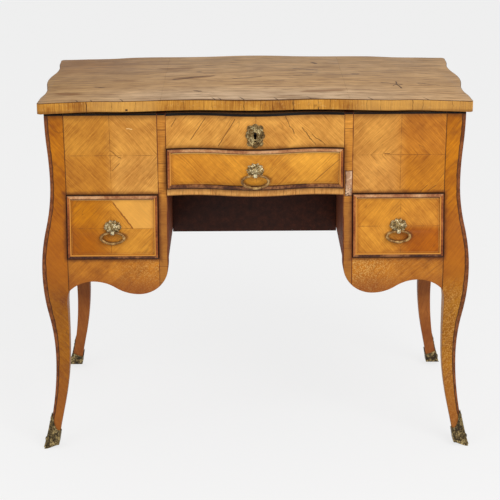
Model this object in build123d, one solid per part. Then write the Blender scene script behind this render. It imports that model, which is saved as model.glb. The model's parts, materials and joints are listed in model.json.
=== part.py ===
from build123d import *
import math
import os

# Poudreuse dressing table. +Z is up, the front faces -Y, and the origin is on the floor
# under the middle of the case. Sizes are in millimetres.

# Table top: three leaves cut from one crowned, scalloped board
height = 761
top_thickness = 22.5
top_crown = 7
top_end_overhang = 13
top_front_overhang = 17
top_corner_radius = 9
leaf_gap = 0.8

# Scallops of the top: how far each turn lies from the middle or the end, and how far out
front_lobe_out = 3.5
front_hollow_place = 135
front_hollow_in = -7.5
pedestal_lobe_from_end = 182
pedestal_lobe_in = -1
pedestal_dip_from_end = 109
pedestal_dip_in = -8.5
front_ear_from_end = 44
front_ear_in = -5
side_lobe_out = 2.5
side_dip_from_end = 120
side_dip_in = -8
side_ear_from_end = 42
side_ear_in = -2

# Case and corner posts
case_length = 862
case_depth = 460
post_width = 39
front_thickness = 24
back_thickness = 14
back_inset = 8
floor_thickness = 8
side_panel_inset = 1.5
side_panel_thickness = 21.5

# Swell of posts, sides and lower fronts. Drops are measured down from the top of the case,
# offsets out from the case line
waist_drop = 148.5
waist_offset = -6.5
knee_drop = 334.5
knee_offset = 15
ankle_height = 199
ankle_offset = -4
toe_offset = 24
back_foot_tuck = 5.5
leg_inner_shoulder_height = 322
leg_inner_shoulder_offset = -34.5
leg_inner_calf_height = 205
leg_inner_calf_offset = -33.5
leg_inner_ankle_height = 94
leg_inner_ankle_offset = -20.5
leg_inner_toe_offset = -3

# Serpentine centre front
centre_bulge = 17
hollow_distance = 130

# Divisions of the front, from the top of the case down
stile_width = 19
kneehole_width = 365
frieze_height = 74.4
centre_drawer_height = 85.3
rail_height = 14.4
front_panel_height = 172.6
side_drawer_height = 132.8
kneehole_depth = 236
kneehole_back_drop = 7.3
pedestal_floor_drop = 0.3
ceiling_lift = 1
well_floor_lift = 1.5

# Shaped lower edges
post_drop = 377.6
apron_low_drop = 384.1
apron_turn_radius = 62
apron_high_drop = 355
apron_high_distance = 51
side_edge_middle_drop = 375
side_edge_high_drop = 357
side_edge_high_distance = 50

# Drawers
drawer_gap = 0.8
drawer_running_gap = 0.3
drawer_side = 9
drawer_bottom = 6
drawer_bottom_lift = 4
drawer_back_room = 64
drawer_headroom = 8
bead_width = 8
bead_proud = 3.5
bead_depth = 9
runner_width = 20
guide_height = 20

# Pulls
rosette_width = 36
rosette_height = 30
rosette_thickness = 2.6
rosette_sunk = 3
petals = 10
petal_depth = 3.5
boss_radius = 8
boss_height = 5.5
boss_taper = 30
eye_drop = 10
eye_radius = 4.6
eye_sides = 12
eye_width = 7
eye_standoff = 10
post_radius = 2.5
post_sides = 8
post_hole_gap = 0.2
post_tail = 1
nut_width = 9
nut_thickness = 3
ring_wire = 2.0
ring_running_gap = 0.05
ring_straight = 6
ring_shoulder_radius = 31
ring_shoulder_angle = 35
ring_end_radius = 7.5
ring_end_angle = 118
ring_facets = 6
ring_steps = 3
centre_ring_scale = 1.0
side_ring_scale = 0.88

# Lock and keyhole
keyhole_drop = 45.2
keyhole_radius = 3.75
keyhole_slot_width = 4
keyhole_slot_length = 14
escutcheon_width = 41
escutcheon_height = 51
escutcheon_thickness = 2.5
escutcheon_core_width = 33
escutcheon_core_height = 41
escutcheon_core_corner = 14
shell_radius = 6.5
shell_sides = 8
shell_angle = 34
lock_width = 64
lock_height = 60
lock_rise = 3
lock_thickness = 13
bolt_width = 16
bolt_thickness = 6
bolt_length = 31
bolt_shy = 0.5
bolt_travel = 14
bolt_gap = 0.15
mortise_gap = 0.5
mortise_end_gap = 4
strike_width = 40
strike_thickness = 1
strike_gap = 0.05

# Mirror under the centre lid
mirror_front_room = 20
mirror_side_room = 25
mirror_back_room = 64
mirror_frame_width = 22
mirror_frame_thickness = 12
mirror_rabbet = 6
mirror_glass_thickness = 4
mirror_gap = 0.2

# Butt hinges of the lid and flaps
hinge_leaf = 1.1
hinge_leaf_width = 20
hinge_length = 50
hinge_knuckle = 12
knuckle_radius = 3
knuckle_sides = 10
pin_radius = 1.5
pin_gap = 0.05
hinge_gap = 0.3
seat_gap = 0.15
lid_hinge_distance = 120
flap_hinge_distance = 120
lid_rail_width = 22

# Sabots
sabot_wall = 2
sabot_floor = 2
sabot_heel_height = 24
sabot_side_height = 33
sabot_side_place = -10
sabot_tip_height = 78

# Derived places
half_length = case_length / 2
half_depth = case_depth / 2
top_length = case_length + 2 * top_end_overhang
top_depth = case_depth + 2 * top_front_overhang
top_underside = height - top_thickness
post_inner_x = half_length - post_width
post_inner_y = half_depth - post_width
half_kneehole = kneehole_width / 2
stile_outer_x = half_kneehole + stile_width
stile_middle_x = half_kneehole + stile_width / 2
front_inner_y = -(half_depth - front_thickness)
back_outer_y = half_depth - back_inset
back_inner_y = back_outer_y - back_thickness
side_outer_x = half_length - side_panel_inset
side_inner_x = side_outer_x - side_panel_thickness


def underside_at(x):
    """Height of the crowned underside of the top at a distance x from the middle."""
    return top_underside - top_crown * (x / (top_length / 2)) ** 2


# Levels: the case stops where the flaps' two hinge leaves just fit under the crowned top
case_top = underside_at(side_outer_x) - seat_gap - 2 * hinge_leaf
frieze_bottom = case_top - frieze_height
rail_top = frieze_bottom - centre_drawer_height
rail_bottom = rail_top - rail_height
ceiling_bottom = rail_bottom + ceiling_lift
side_drawer_top = case_top - front_panel_height
side_drawer_bottom = side_drawer_top - side_drawer_height
well_floor_bottom = side_drawer_top + well_floor_lift
case_bottom = side_drawer_bottom - pedestal_floor_drop - floor_thickness
post_bottom = case_top - post_drop
apron_low = case_top - apron_low_drop
keyhole_height = case_top - keyhole_drop
lock_top = case_top + lock_rise
bolt_top = lock_top - bolt_shy
bolt_bottom = bolt_top - bolt_length
mortise_top = bolt_top + bolt_travel + mortise_end_gap

# Serpentine of the centre front: one radius for the bulge and the hollows beside it
serpentine_radius = (hollow_distance**2 + centre_bulge**2) / (4 * centre_bulge)
stile_rise = serpentine_radius - math.sqrt(
    serpentine_radius**2 - (half_kneehole - hollow_distance) ** 2
)
hollow_y = -(half_depth - stile_rise)
centre_front_y = hollow_y - centre_bulge


def block(low_x, high_x, low_y, high_y, low_z, high_z):
    """Box given by its low and high faces."""
    middle = Pos((low_x + high_x) / 2, (low_y + high_y) / 2, (low_z + high_z) / 2)
    return middle * Box(high_x - low_x, high_y - low_y, high_z - low_z)


def mirrored(piece):
    """The left-hand copy of a right-hand piece."""
    return mirror(piece, about=Plane.YZ)


# Swelled surfaces -----------------------------------------------------------------------


def s_curve(start, end, heading):
    """Two equal arcs that leave start and reach end in the same direction."""
    middle = ((start[0] + end[0]) / 2, (start[1] + end[1]) / 2)
    first = TangentArc(start, middle, tangent=heading)
    return [first, TangentArc(middle, end, tangent=first % 1)]


def swell_line(base, out, proud=0.0, tuck=0.0):
    """Edges of the swell in a vertical plane.

    base is the case line, out is +1 or -1, and tuck draws the foot in under the knee.
    """
    stations = [
        (0, case_top),
        (waist_offset, case_top - waist_drop),
        (knee_offset, case_top - knee_drop),
        (ankle_offset - tuck, ankle_height),
    ]
    points = [(base + out * (offset + proud), level) for offset, level in stations]
    down = (0, -1)
    edges = []
    for upper, lower in zip(points, points[1:]):
        edges += s_curve(upper, lower, down)
    toe = (base + out * (toe_offset - tuck + proud), 0)
    return edges + [TangentArc(points[-1], toe, tangent=down)]


def swell_profile(base, out, proud, inner):
    """Face between the swell and a straight vertical line at inner."""
    toe = (base + out * (toe_offset + proud), 0)
    head = (base + out * proud, case_top)
    closing = Polyline(toe, (inner, 0), (inner, case_top), head)
    return make_face(swell_line(base, out, proud) + [closing])


def front_piece(low_x, high_x, low_z, high_z, proud=0.0, inner_y=front_inner_y):
    """Stretch of the swelled lower front, back to a flat inner plane."""
    profile = Plane.YZ * swell_profile(-half_depth, -1, proud, inner_y)
    band = Plane.YZ * Pos(-half_depth, (low_z + high_z) / 2) * Rectangle(case_depth, high_z - low_z)
    return Pos(low_x, 0, 0) * extrude(profile & band, high_x - low_x, dir=(1, 0, 0))


def centre_piece(low_x, high_x, proud, inner_y, low_z, high_z):
    """Stretch of the serpentine centre front, extruded straight up."""
    middle = hollow_distance / 2
    middle_y = (hollow_y + centre_front_y) / 2 - proud
    end = (half_kneehole, -half_depth - proud)
    hollow = (hollow_distance, hollow_y - proud)
    turn = (middle, middle_y)
    left_end, left_hollow, left_turn = [(-x, y) for x, y in (end, hollow, turn)]
    edges = [
        ThreePointArc(left_end, left_hollow, left_turn),
        ThreePointArc(left_turn, (0, centre_front_y - proud), turn),
        ThreePointArc(turn, hollow, end),
        Polyline(end, (half_kneehole, inner_y), (-half_kneehole, inner_y), left_end),
    ]
    band = Pos((low_x + high_x) / 2, -half_depth) * Rectangle(high_x - low_x, case_depth)
    return Pos(0, 0, low_z) * extrude(make_face(edges) & band, high_z - low_z)


# Legs and shoes ---------------------------------------------------------------------------


def leg_profile(base, extra, foot, tuck):
    """Outline of the post and cabriole leg in one vertical plane."""
    inner_stations = [
        (-post_width, post_bottom),
        (leg_inner_shoulder_offset, leg_inner_shoulder_height),
        (leg_inner_calf_offset - tuck, leg_inner_calf_height),
        (leg_inner_ankle_offset - tuck, leg_inner_ankle_height),
        (leg_inner_toe_offset - tuck, 0),
    ]
    points = [(base + offset - extra, level) for offset, level in inner_stations]
    inner = Spline(*points, tangents=[(0.3, -1), (0, -1), (0.03, -1), (0.2, -1), (0.12, -1)])
    head = Polyline((base + extra, case_top), (base - post_width - extra, case_top), points[0])
    sole = Line(points[-1], (base + toe_offset - tuck + extra, 0))
    face = make_face(swell_line(base, 1, extra, tuck) + [head, inner, sole])
    return face & Pos(base, (case_top + foot) / 2) * Rectangle(4 * post_width, case_top - foot)


def leg_blank(extra, foot, tuck):
    """Square-section leg: its outline sawn from both faces of the back right post."""
    reach = half_depth + 2 * post_width
    along_y = extrude(Plane.XZ * leg_profile(half_length, extra, foot, tuck), 2 * reach, both=True)
    reach = half_length + 2 * post_width
    along_x = extrude(Plane.YZ * leg_profile(half_depth, extra, foot, 0), 2 * reach, both=True)
    quarter = block(0, reach, 0, reach, 0, case_top)
    return along_y & along_x & quarter


def leg(tuck):
    return leg_blank(0, sabot_floor, tuck)


def sabot(tuck):
    """Brass shoe with a leaf that rises up the outer corner of the foot."""
    corner = Plane(origin=(half_length, half_depth, 0), x_dir=(1, 1, 0), z_dir=(1, -1, 0))
    heel_x = -2 * post_width
    toe_x = 2 * post_width
    tip_out = swell_offset(sabot_tip_height) + sabot_wall - tuck / 2
    tip = (math.sqrt(2) * tip_out, sabot_tip_height)
    shoulder = (sabot_side_place, sabot_side_height)
    leaf = Spline((heel_x, sabot_heel_height), shoulder, tip, tangents=[(1, 0), (1, 0.6), (0.25, 1)])
    outside = [(toe_x, sabot_tip_height), (toe_x, 0), (heel_x, 0), (heel_x, sabot_heel_height)]
    closing = Polyline(tip, *outside)
    keep = extrude(corner * make_face([leaf, closing]), 3 * post_width, both=True)
    shoe = leg_blank(sabot_wall, 0, tuck) & block(0, case_length, 0, case_depth, 0, sabot_tip_height)
    return (shoe & keep) - leg(tuck)


# Table top ----------------------------------------------------------------------------------


def scallop(half, turns):
    """Half of one edge of the top, from its middle to its corner, as outward turns of arcs."""
    points = turns + [(half, 0)]
    edges = []
    for start, end in zip(points, points[1:-1]):
        edges += s_curve(start, end, (1, 0))
    return edges + [TangentArc(points[-2], points[-1], tangent=(1, 0))]


def top_outline():
    """Scalloped outline: one quarter mirrored both ways, with rounded corners."""
    half_x = top_length / 2
    half_y = top_depth / 2
    front = scallop(half_x, [
        (0, front_lobe_out),
        (front_hollow_place, front_hollow_in),
        (half_x - pedestal_lobe_from_end, pedestal_lobe_in),
        (half_x - pedestal_dip_from_end, pedestal_dip_in),
        (half_x - front_ear_from_end, front_ear_in),
    ])
    side = scallop(half_y, [
        (0, side_lobe_out),
        (half_y - side_dip_from_end, side_dip_in),
        (half_y - side_ear_from_end, side_ear_in),
    ])
    quarter = [Pos(0, half_y) * edge for edge in front]
    quarter += [Pos(half_x, 0) * mirror(edge, about=Plane((0, 0, 0), z_dir=(1, -1, 0))) for edge in side]
    half = quarter + [mirror(edge, about=Plane.YZ) for edge in quarter]
    outline = make_face(half + [mirror(edge, about=Plane.XZ) for edge in half])
    corners = outline.vertices().sort_by(lambda corner: abs(corner.X) + abs(corner.Y))[-4:]
    return fillet(corners, top_corner_radius)


def top_board():
    reach = top_length
    drop = top_underside - underside_at(reach)
    upper = ThreePointArc((-reach, height - drop), (0, height), (reach, height - drop))
    right = Line((reach, height - drop), (reach, top_underside - drop))
    lower = ThreePointArc((reach, top_underside - drop), (0, top_underside), (-reach, top_underside - drop))
    left = Line((-reach, top_underside - drop), (-reach, height - drop))
    crowned = extrude(Plane.XZ * make_face([upper, right, lower, left]), top_depth, both=True)
    return crowned & extrude(top_outline(), 2 * height)


def lid_board(top):
    half = stile_middle_x - leaf_gap / 2
    leaf = top & block(-half, half, -top_depth, top_depth, case_top, 2 * height)
    return leaf - bolt_mortise()


def flap(top):
    low = stile_middle_x + leaf_gap / 2
    return top & block(low, top_length, -top_depth, top_depth, 0, 2 * height)


# Case -----------------------------------------------------------------------------------------


def apron_region():
    """Everything above the shaped lower edge of the right-hand pedestal."""
    turn = (half_kneehole, apron_low + apron_turn_radius)
    low = (half_kneehole + apron_turn_radius, apron_low)
    high = (post_inner_x - apron_high_distance, case_top - apron_high_drop)
    end = (post_inner_x, post_bottom)
    level = (1, 0)
    edges = [TangentArc(turn, low, tangent=(0, -1))] + s_curve(low, high, level)
    edges.append(TangentArc(high, end, tangent=level))
    edges.append(Polyline(end, (post_inner_x, case_top), (half_kneehole, case_top), turn))
    return extrude(Plane.XZ * make_face(edges), case_depth, both=True)


def apron():
    low = post_bottom - stile_width
    return front_piece(stile_outer_x, post_inner_x, low, side_drawer_bottom) & apron_region()


def partition():
    """Pedestal inner wall. Its front edge is the stile, which runs down into the apron's curve."""
    stile = front_piece(half_kneehole, stile_outer_x, post_bottom - stile_width, case_top) & apron_region()
    top = underside_at(stile_outer_x) - seat_gap
    return stile + block(half_kneehole, stile_outer_x, front_inner_y, back_inner_y, case_bottom, top)


def front_panel():
    return front_piece(stile_outer_x, post_inner_x, side_drawer_top, case_top)


def side_panel():
    """Case side with a shaped lower edge between the legs."""
    high_y = post_inner_y - side_edge_high_distance
    end = (post_inner_y, post_bottom)
    high = (high_y, case_top - side_edge_high_drop)
    middle = (0, case_top - side_edge_middle_drop)
    left_high, left_end = [(-y, z) for y, z in (high, end)]
    level = (1, 0)
    edges = [TangentArc(left_high, left_end, tangent=(-1, 0))]
    edges += s_curve(left_high, middle, level) + s_curve(middle, high, level)
    edges.append(TangentArc(high, end, tangent=level))
    edges.append(Polyline(end, (post_inner_y, case_top), (-post_inner_y, case_top), left_end))
    region = extrude(Plane.YZ * make_face(edges), 2 * case_length)
    profile = Plane.XZ * swell_profile(half_length, 1, -side_panel_inset, side_inner_x)
    return extrude(profile, post_inner_y, both=True) & region


def back_panel():
    return block(-post_inner_x, post_inner_x, back_inner_y, back_outer_y, case_bottom, case_top)


def frieze():
    rail = centre_piece(-half_kneehole, half_kneehole, 0, front_inner_y, frieze_bottom, case_top)
    return rail - keyhole()


def drawer_rail():
    return centre_piece(-half_kneehole, half_kneehole, 0, front_inner_y, rail_bottom, rail_top)


def centre_shelf(low_z):
    """Board between the partitions, from the front pieces to the back panel."""
    high_z = low_z + floor_thickness
    return block(-half_kneehole, half_kneehole, front_inner_y, back_inner_y, low_z, high_z)


def kneehole_back():
    front = -half_depth + kneehole_depth
    low = case_bottom - kneehole_back_drop
    return block(-half_kneehole, half_kneehole, front, front + floor_thickness, low, ceiling_bottom)


def pedestal_shelf(low_z):
    """Board between a partition and the case side, notched round the posts."""
    high_z = low_z + floor_thickness
    board = block(stile_outer_x, side_inner_x, front_inner_y, back_inner_y, low_z, high_z)
    front_notch = block(post_inner_x, side_inner_x, -half_depth, -post_inner_y, low_z, high_z)
    back_notch = block(post_inner_x, side_inner_x, post_inner_y, half_depth, low_z, high_z)
    return board - front_notch - back_notch


def drawer_guide():
    """Strip beside the post that keeps the side drawer straight."""
    floor = case_bottom + floor_thickness
    return block(post_inner_x, side_inner_x, -post_inner_y, post_inner_y, floor, floor + guide_height)


def drawer_runner():
    top = rail_top - drawer_running_gap
    low = ceiling_bottom + floor_thickness
    return block(half_kneehole - runner_width, half_kneehole, front_inner_y, back_inner_y, low, top)


def lid_rail():
    front = back_outer_y - lid_rail_width
    return block(-half_kneehole, half_kneehole, front, back_outer_y, case_top, lid_rail_top())


def lid_rail_top():
    return underside_at(lid_hinge_distance + hinge_length / 2) - seat_gap - 2 * hinge_leaf


# Hinges -----------------------------------------------------------------------------------------


def hinge_leaves(seat):
    """Butt hinge in its own frame: the pin lies along X, leaves reach back along -Y from it.

    seat is the height of the surface that the fixed leaf lies on, above the pin's axis.
    """
    half = hinge_length / 2
    inner = half - hinge_knuckle
    relief = knuckle_radius + hinge_gap
    reach = relief + hinge_leaf_width
    joint = seat + hinge_leaf
    top = joint + hinge_leaf
    knuckle = Plane.YZ * RegularPolygon(knuckle_radius, knuckle_sides)
    pin = Rot(0, 90, 0) * Cylinder(pin_radius, 2 * half)
    bore = Rot(0, 90, 0) * Cylinder(pin_radius + pin_gap, 2 * half)
    fixed = block(-half, half, -reach, -relief, seat, joint) + pin
    moving = block(-half, half, -reach, -relief, joint, top) + extrude(knuckle, inner, both=True)
    moving += block(-inner, inner, -relief, 0, joint, top)
    length = hinge_knuckle - hinge_gap
    for start in (-half, half - length):
        fixed += Pos(start, 0, 0) * extrude(knuckle, length)
        fixed += block(start, start + length, -relief, 0, seat, joint)
    return fixed, moving - bore


def hinge_seat():
    return knuckle_radius - 2 * hinge_leaf


def lid_axis():
    """Y and Z of the centre lid's hinge axis."""
    return back_outer_y + knuckle_radius + hinge_gap, lid_rail_top() - hinge_seat()


def flap_axis():
    """X and Z of the right flap's hinge axis."""
    return side_outer_x + knuckle_radius + hinge_gap, case_top - hinge_seat()


def lid_hinges():
    fixed, moving = hinge_leaves(hinge_seat())
    axis_y, axis_z = lid_axis()
    places = [Pos(side * lid_hinge_distance, axis_y, axis_z) for side in (-1, 1)]
    return [place * fixed for place in places], [place * moving for place in places]


def flap_hinges():
    fixed, moving = hinge_leaves(hinge_seat())
    axis_x, axis_z = flap_axis()
    places = [Pos(axis_x, side * flap_hinge_distance, axis_z) * Rot(0, 0, -90) for side in (-1, 1)]
    return [place * fixed for place in places], [place * moving for place in places]


# Lock ---------------------------------------------------------------------------------------------


def keyhole():
    """Round hole with a slot below it, through the frieze and its plate."""
    centre = Pos(0, keyhole_height)
    slot = Pos(0, keyhole_height - keyhole_slot_length / 2)
    slot_face = slot * Rectangle(keyhole_slot_width, keyhole_slot_length)
    shape = Plane.XZ * (centre * Circle(keyhole_radius) + slot_face)
    return Pos(0, front_inner_y, 0) * extrude(shape, half_depth, dir=(0, -1, 0))


def bolt_column(gap, low, high):
    """Upright block round the bolt's line, wider than the bolt by gap all round."""
    half_x = bolt_width / 2 + gap
    half_y = bolt_thickness / 2 + gap
    centre_y = front_inner_y + lock_thickness / 2
    return block(-half_x, half_x, centre_y - half_y, centre_y + half_y, low, high)


def bolt_mortise():
    return bolt_column(mortise_gap, case_top, mortise_top)


def lock_case():
    half = lock_width / 2
    back = front_inner_y + lock_thickness
    body = block(-half, half, front_inner_y, back, lock_top - lock_height, lock_top)
    return body - bolt_column(bolt_gap, bolt_bottom, height)


def lock_strike():
    half = strike_width / 2
    back = front_inner_y + lock_thickness
    high = underside_at(half) - strike_gap
    return block(-half, half, front_inner_y, back, high - strike_thickness, high) - bolt_mortise()


def escutcheon():
    """Flat-backed cartouche with three shells above and below and a scroll at each side."""
    outline = RectangleRounded(escutcheon_core_width, escutcheon_core_height, escutcheon_core_corner)
    side_x = escutcheon_width / 2 - shell_radius
    reach = escutcheon_height / 2 - shell_radius
    places = [(side_x, 0), (-side_x, 0)]
    for turn in (-1, 0, 1):
        lean = math.radians(turn * shell_angle)
        for up in (-1, 1):
            places.append((reach * math.sin(lean), up * reach * math.cos(lean)))
    for x, z in places:
        outline += Pos(x, z) * RegularPolygon(shell_radius, shell_sides)
    plate = Plane.XZ.offset(-centre_front_y) * Pos(0, keyhole_height) * outline
    return extrude(plate, escutcheon_thickness) - keyhole()


# Mirror ---------------------------------------------------------------------------------------------


def mirror_slab(inset, low_z, high_z):
    """Board inside the mirror frame's outline, inset all round."""
    half = half_kneehole - mirror_side_room - inset
    low_y = front_inner_y + mirror_front_room + inset
    high_y = back_inner_y - mirror_back_room - inset
    return block(-half, half, low_y, high_y, low_z, high_z)


def mirror_top():
    return underside_at(half_kneehole - mirror_side_room) - seat_gap


def mirror_frame():
    high = mirror_top()
    low = high - mirror_frame_thickness
    rebate = high - mirror_glass_thickness - mirror_gap
    frame = mirror_slab(0, low, high) - mirror_slab(mirror_frame_width, low, high)
    return frame - mirror_slab(mirror_frame_width - mirror_rabbet, rebate, high)


def mirror_glass():
    low = mirror_top() - mirror_glass_thickness - mirror_gap
    return mirror_slab(mirror_frame_width - mirror_rabbet + mirror_gap, low, low + mirror_glass_thickness)


# Drawers --------------------------------------------------------------------------------------------


def drawer_shell(low_x, high_x, low_z, high_z):
    """Sides and back of a drawer, and its bottom board between them."""
    front_y = front_inner_y
    back_y = back_inner_y - drawer_back_room
    inner_low = low_x + drawer_side
    inner_high = high_x - drawer_side
    inner_back = back_y - drawer_side
    left = block(low_x, inner_low, front_y, back_y, low_z, high_z)
    right = block(inner_high, high_x, front_y, back_y, low_z, high_z)
    back = block(inner_low, inner_high, inner_back, back_y, low_z, high_z)
    floor_z = low_z + drawer_bottom_lift
    floor = block(inner_low, inner_high, front_y, inner_back, floor_z, floor_z + drawer_bottom)
    return Compound([left, right, back]), floor


def beaded_front(low_x, high_x, low_z, high_z, body):
    """Drawer front with a cockbead let into its edges.

    body gives a stretch of the front from its size and how far it stands proud.
    """
    inner = body(low_x, high_x, low_z, high_z, -bead_depth)
    panel_size = (low_x + bead_width, high_x - bead_width, low_z + bead_width, high_z - bead_width)
    window = body(*panel_size, bead_proud)
    bead = body(low_x, high_x, low_z, high_z, bead_proud) - inner - window
    return body(*panel_size, 0) + inner, bead


def centre_drawer():
    high_x = half_kneehole - drawer_gap
    low_z = rail_top + drawer_gap
    high_z = frieze_bottom - drawer_gap

    def body(low_x, high_x, low_z, high_z, proud):
        return centre_piece(low_x, high_x, proud, front_inner_y, low_z, high_z)

    front, bead = beaded_front(-high_x, high_x, low_z, high_z, body)
    shell, floor = drawer_shell(-high_x, high_x, rail_top, high_z - drawer_headroom)
    return front, bead, shell, floor


def side_drawer():
    low_x = stile_outer_x + drawer_gap
    high_x = post_inner_x - drawer_gap
    high_z = side_drawer_top - drawer_gap
    front, bead = beaded_front(low_x, high_x, side_drawer_bottom + drawer_gap, high_z, front_piece)
    shell, floor = drawer_shell(low_x, high_x, side_drawer_bottom, high_z - drawer_headroom)
    return front, bead, shell, floor


# Pulls ------------------------------------------------------------------------------------------------


def swell_offset(level):
    """How far the lower front stands out of the case line at a height."""
    reach = 4 * post_width
    across = Line((-reach, level), (reach, level))
    return (across & swell_profile(0, 1, 0, -reach)).bounding_box().max.X


def swell_lean(level):
    """Angle in degrees by which the lower front leans out of the vertical at a height."""
    return math.degrees(math.atan2(swell_offset(level - 1) - swell_offset(level + 1), 2))


def pull_post(axis_y, axis_z):
    """Drilled lug that holds the ring, with a post through the drawer front and its nut."""
    bore_radius = ring_wire + ring_running_gap
    lug = RegularPolygon(eye_radius, eye_sides) - Circle(bore_radius)
    eye = Pos(0, axis_y, axis_z) * extrude(Plane.YZ * lug, eye_width / 2, both=True)
    head_y = axis_y + (bore_radius + eye_radius) / 2
    tail_y = front_inner_y + nut_thickness + post_tail
    post_face = Plane.XZ.offset(-tail_y) * Pos(0, axis_z) * RegularPolygon(post_radius, post_sides)
    post = extrude(post_face, tail_y - head_y)
    nut_face = Plane.XZ.offset(-front_inner_y - nut_thickness) * Pos(0, axis_z)
    nut = extrude(nut_face * RegularPolygon(nut_width / 2, 6, major_radius=False), nut_thickness)
    return eye + post + nut


def petal_outline():
    """Rosette outline: broad petals with a notch between each two."""
    half_x = rosette_width / 2
    half_z = rosette_height / 2
    points = []
    for number in range(petals):
        for part, reach in ((0, petal_depth), (0.25, 0), (0.5, 0), (0.75, petal_depth)):
            angle = 2 * math.pi * (number + part - 0.375) / petals
            points.append(((half_x - reach) * math.cos(angle), (half_z - reach) * math.sin(angle)))
    return make_face(Polyline(*points, close=True))


def rosette(front, surface_y, centre_z, lean):
    """Petalled plate with a faceted boss, seated on the drawer front."""
    plate = Pos(0, 0, -rosette_sunk) * extrude(petal_outline(), rosette_sunk + rosette_thickness)
    boss = extrude(RegularPolygon(boss_radius, petals), boss_height, taper=boss_taper)
    seat = Pos(0, surface_y, centre_z) * Rot(90 + lean, 0, 0)
    return seat * (plate + boss) - front


def ring(axis_y, axis_z, size):
    """Oval ring: a round bar through the eye, then a faceted bow with shoulders and tight ends."""
    shoulder = ring_shoulder_radius * size
    end = ring_end_radius * size
    centre_x = ring_straight + (shoulder - end) * math.sin(math.radians(ring_shoulder_angle))
    bottom_angle = 180 - ring_shoulder_angle - ring_end_angle
    bottom = end + centre_x / math.sin(math.radians(bottom_angle))
    point = (ring_straight, 0)
    heading = (1, 0)
    points = [point]
    turns = (
        (shoulder, ring_shoulder_angle), (end, ring_end_angle), (bottom, 2 * bottom_angle),
        (end, ring_end_angle), (shoulder, ring_shoulder_angle),
    )
    for radius, angle in turns:
        arc = JernArc(point, heading, radius, -angle)
        points += [arc @ (step / ring_steps) for step in range(1, ring_steps + 1)]
        point = arc @ 1
        heading = arc % 1
    path = Plane.XZ * Polyline(*points)
    wire = RegularPolygon(ring_wire, ring_facets, major_radius=False)
    section = Plane(origin=path @ 0, z_dir=path % 0) * wire
    bow = sweep(section, path=path, transition=Transition.RIGHT)
    bar = Rot(0, 90, 0) * Cylinder(ring_wire, 2 * ring_straight)
    return Pos(0, axis_y, axis_z) * (bow + bar)


def post_hole(axis_z):
    hole = Cylinder(post_radius + post_hole_gap, case_depth)
    return Pos(0, -half_depth, axis_z) * Rot(90, 0, 0) * hole


def dressed_drawer(parts, centre_x, surface, plate_z, ring_size):
    """Adds the pull to a drawer and names its pieces.

    surface gives the front's y and its lean in degrees at a height.
    """
    front, bead, shell, floor = parts
    axis_z = plate_z - eye_drop
    plate_y, lean = surface(plate_z)
    axis_y = surface(axis_z)[0] - eye_standoff
    place = Pos(centre_x, 0, 0)
    local_front = Pos(-centre_x, 0, 0) * front
    plate = rosette(local_front, plate_y, plate_z, lean) - post_hole(axis_z)
    post = pull_post(axis_y, axis_z)
    print("ring axis at", centre_x, axis_y, axis_z)
    return {
        "front": front - place * post_hole(axis_z),
        "cockbead": bead,
        "carcass": shell,
        "bottom": floor,
        "rosette": Compound([place * plate, place * post]),
        "ring": place * ring(axis_y, axis_z, ring_size),
    }


# Assembly ------------------------------------------------------------------------------------------------


def case_pieces():
    right = {
        "partition": partition(),
        "front_panel": front_panel(),
        "apron": apron(),
        "side_panel": side_panel(),
        "well_floor": pedestal_shelf(well_floor_bottom),
        "pedestal_floor": pedestal_shelf(case_bottom),
    }
    pieces = {}
    for name, piece in right.items():
        pieces[name + "_right"] = piece
        pieces[name + "_left"] = mirrored(piece)
    for name, maker in (("leg", leg), ("sabot", sabot)):
        back = maker(back_foot_tuck)
        front = mirror(maker(0), about=Plane.XZ)
        pieces[name + "_back_right"] = back
        pieces[name + "_back_left"] = mirrored(back)
        pieces[name + "_front_right"] = front
        pieces[name + "_front_left"] = mirrored(front)
    pieces["back_panel"] = back_panel()
    pieces["frieze"] = frieze()
    pieces["drawer_rail"] = drawer_rail()
    pieces["well_floor_centre"] = centre_shelf(frieze_bottom)
    pieces["kneehole_ceiling"] = centre_shelf(ceiling_bottom)
    pieces["kneehole_back"] = kneehole_back()
    strips = [drawer_runner(), drawer_guide()]
    pieces["drawer_runners"] = Compound(strips + [mirrored(strip) for strip in strips])
    pieces["lid_rail"] = lid_rail()
    pieces["lock_case"] = lock_case()
    pieces["escutcheon"] = escutcheon()
    return pieces


def top_pieces():
    top = top_board()
    flap_right = flap(top)
    lid_fixed, lid_moving = lid_hinges()
    flap_fixed, flap_moving = flap_hinges()
    return {
        "lid_board": lid_board(top),
        "flap_right": flap_right,
        "flap_left": mirrored(flap_right),
        "lid_hinge_case_leaves": Compound(lid_fixed),
        "lid_hinge_leaves": Compound(lid_moving),
        "flap_hinge_case_leaves": Compound(flap_fixed + [mirrored(leaf) for leaf in flap_fixed]),
        "flap_right_hinge_leaves": Compound(flap_moving),
        "flap_left_hinge_leaves": Compound([mirrored(leaf) for leaf in flap_moving]),
        "mirror_frame": mirror_frame(),
        "mirror_glass": mirror_glass(),
        "lock_bolt": bolt_column(0, bolt_bottom, bolt_top),
        "lock_strike": lock_strike(),
    }


def centre_surface(level):
    return centre_front_y, 0


def side_surface(level):
    return -half_depth - swell_offset(level), swell_lean(level)


def drawer_pieces():
    centre_z = (rail_top + frieze_bottom) / 2
    centre = dressed_drawer(centre_drawer(), 0, centre_surface, centre_z, centre_ring_scale)
    side_x = (stile_outer_x + post_inner_x) / 2
    side_z = (side_drawer_bottom + side_drawer_top) / 2
    side = dressed_drawer(side_drawer(), side_x, side_surface, side_z, side_ring_scale)
    pieces = {}
    for name, piece in centre.items():
        pieces["centre_drawer_" + name] = piece
    for name, piece in side.items():
        pieces["right_drawer_" + name] = piece
        pieces["left_drawer_" + name] = mirrored(piece)
    return pieces


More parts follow.
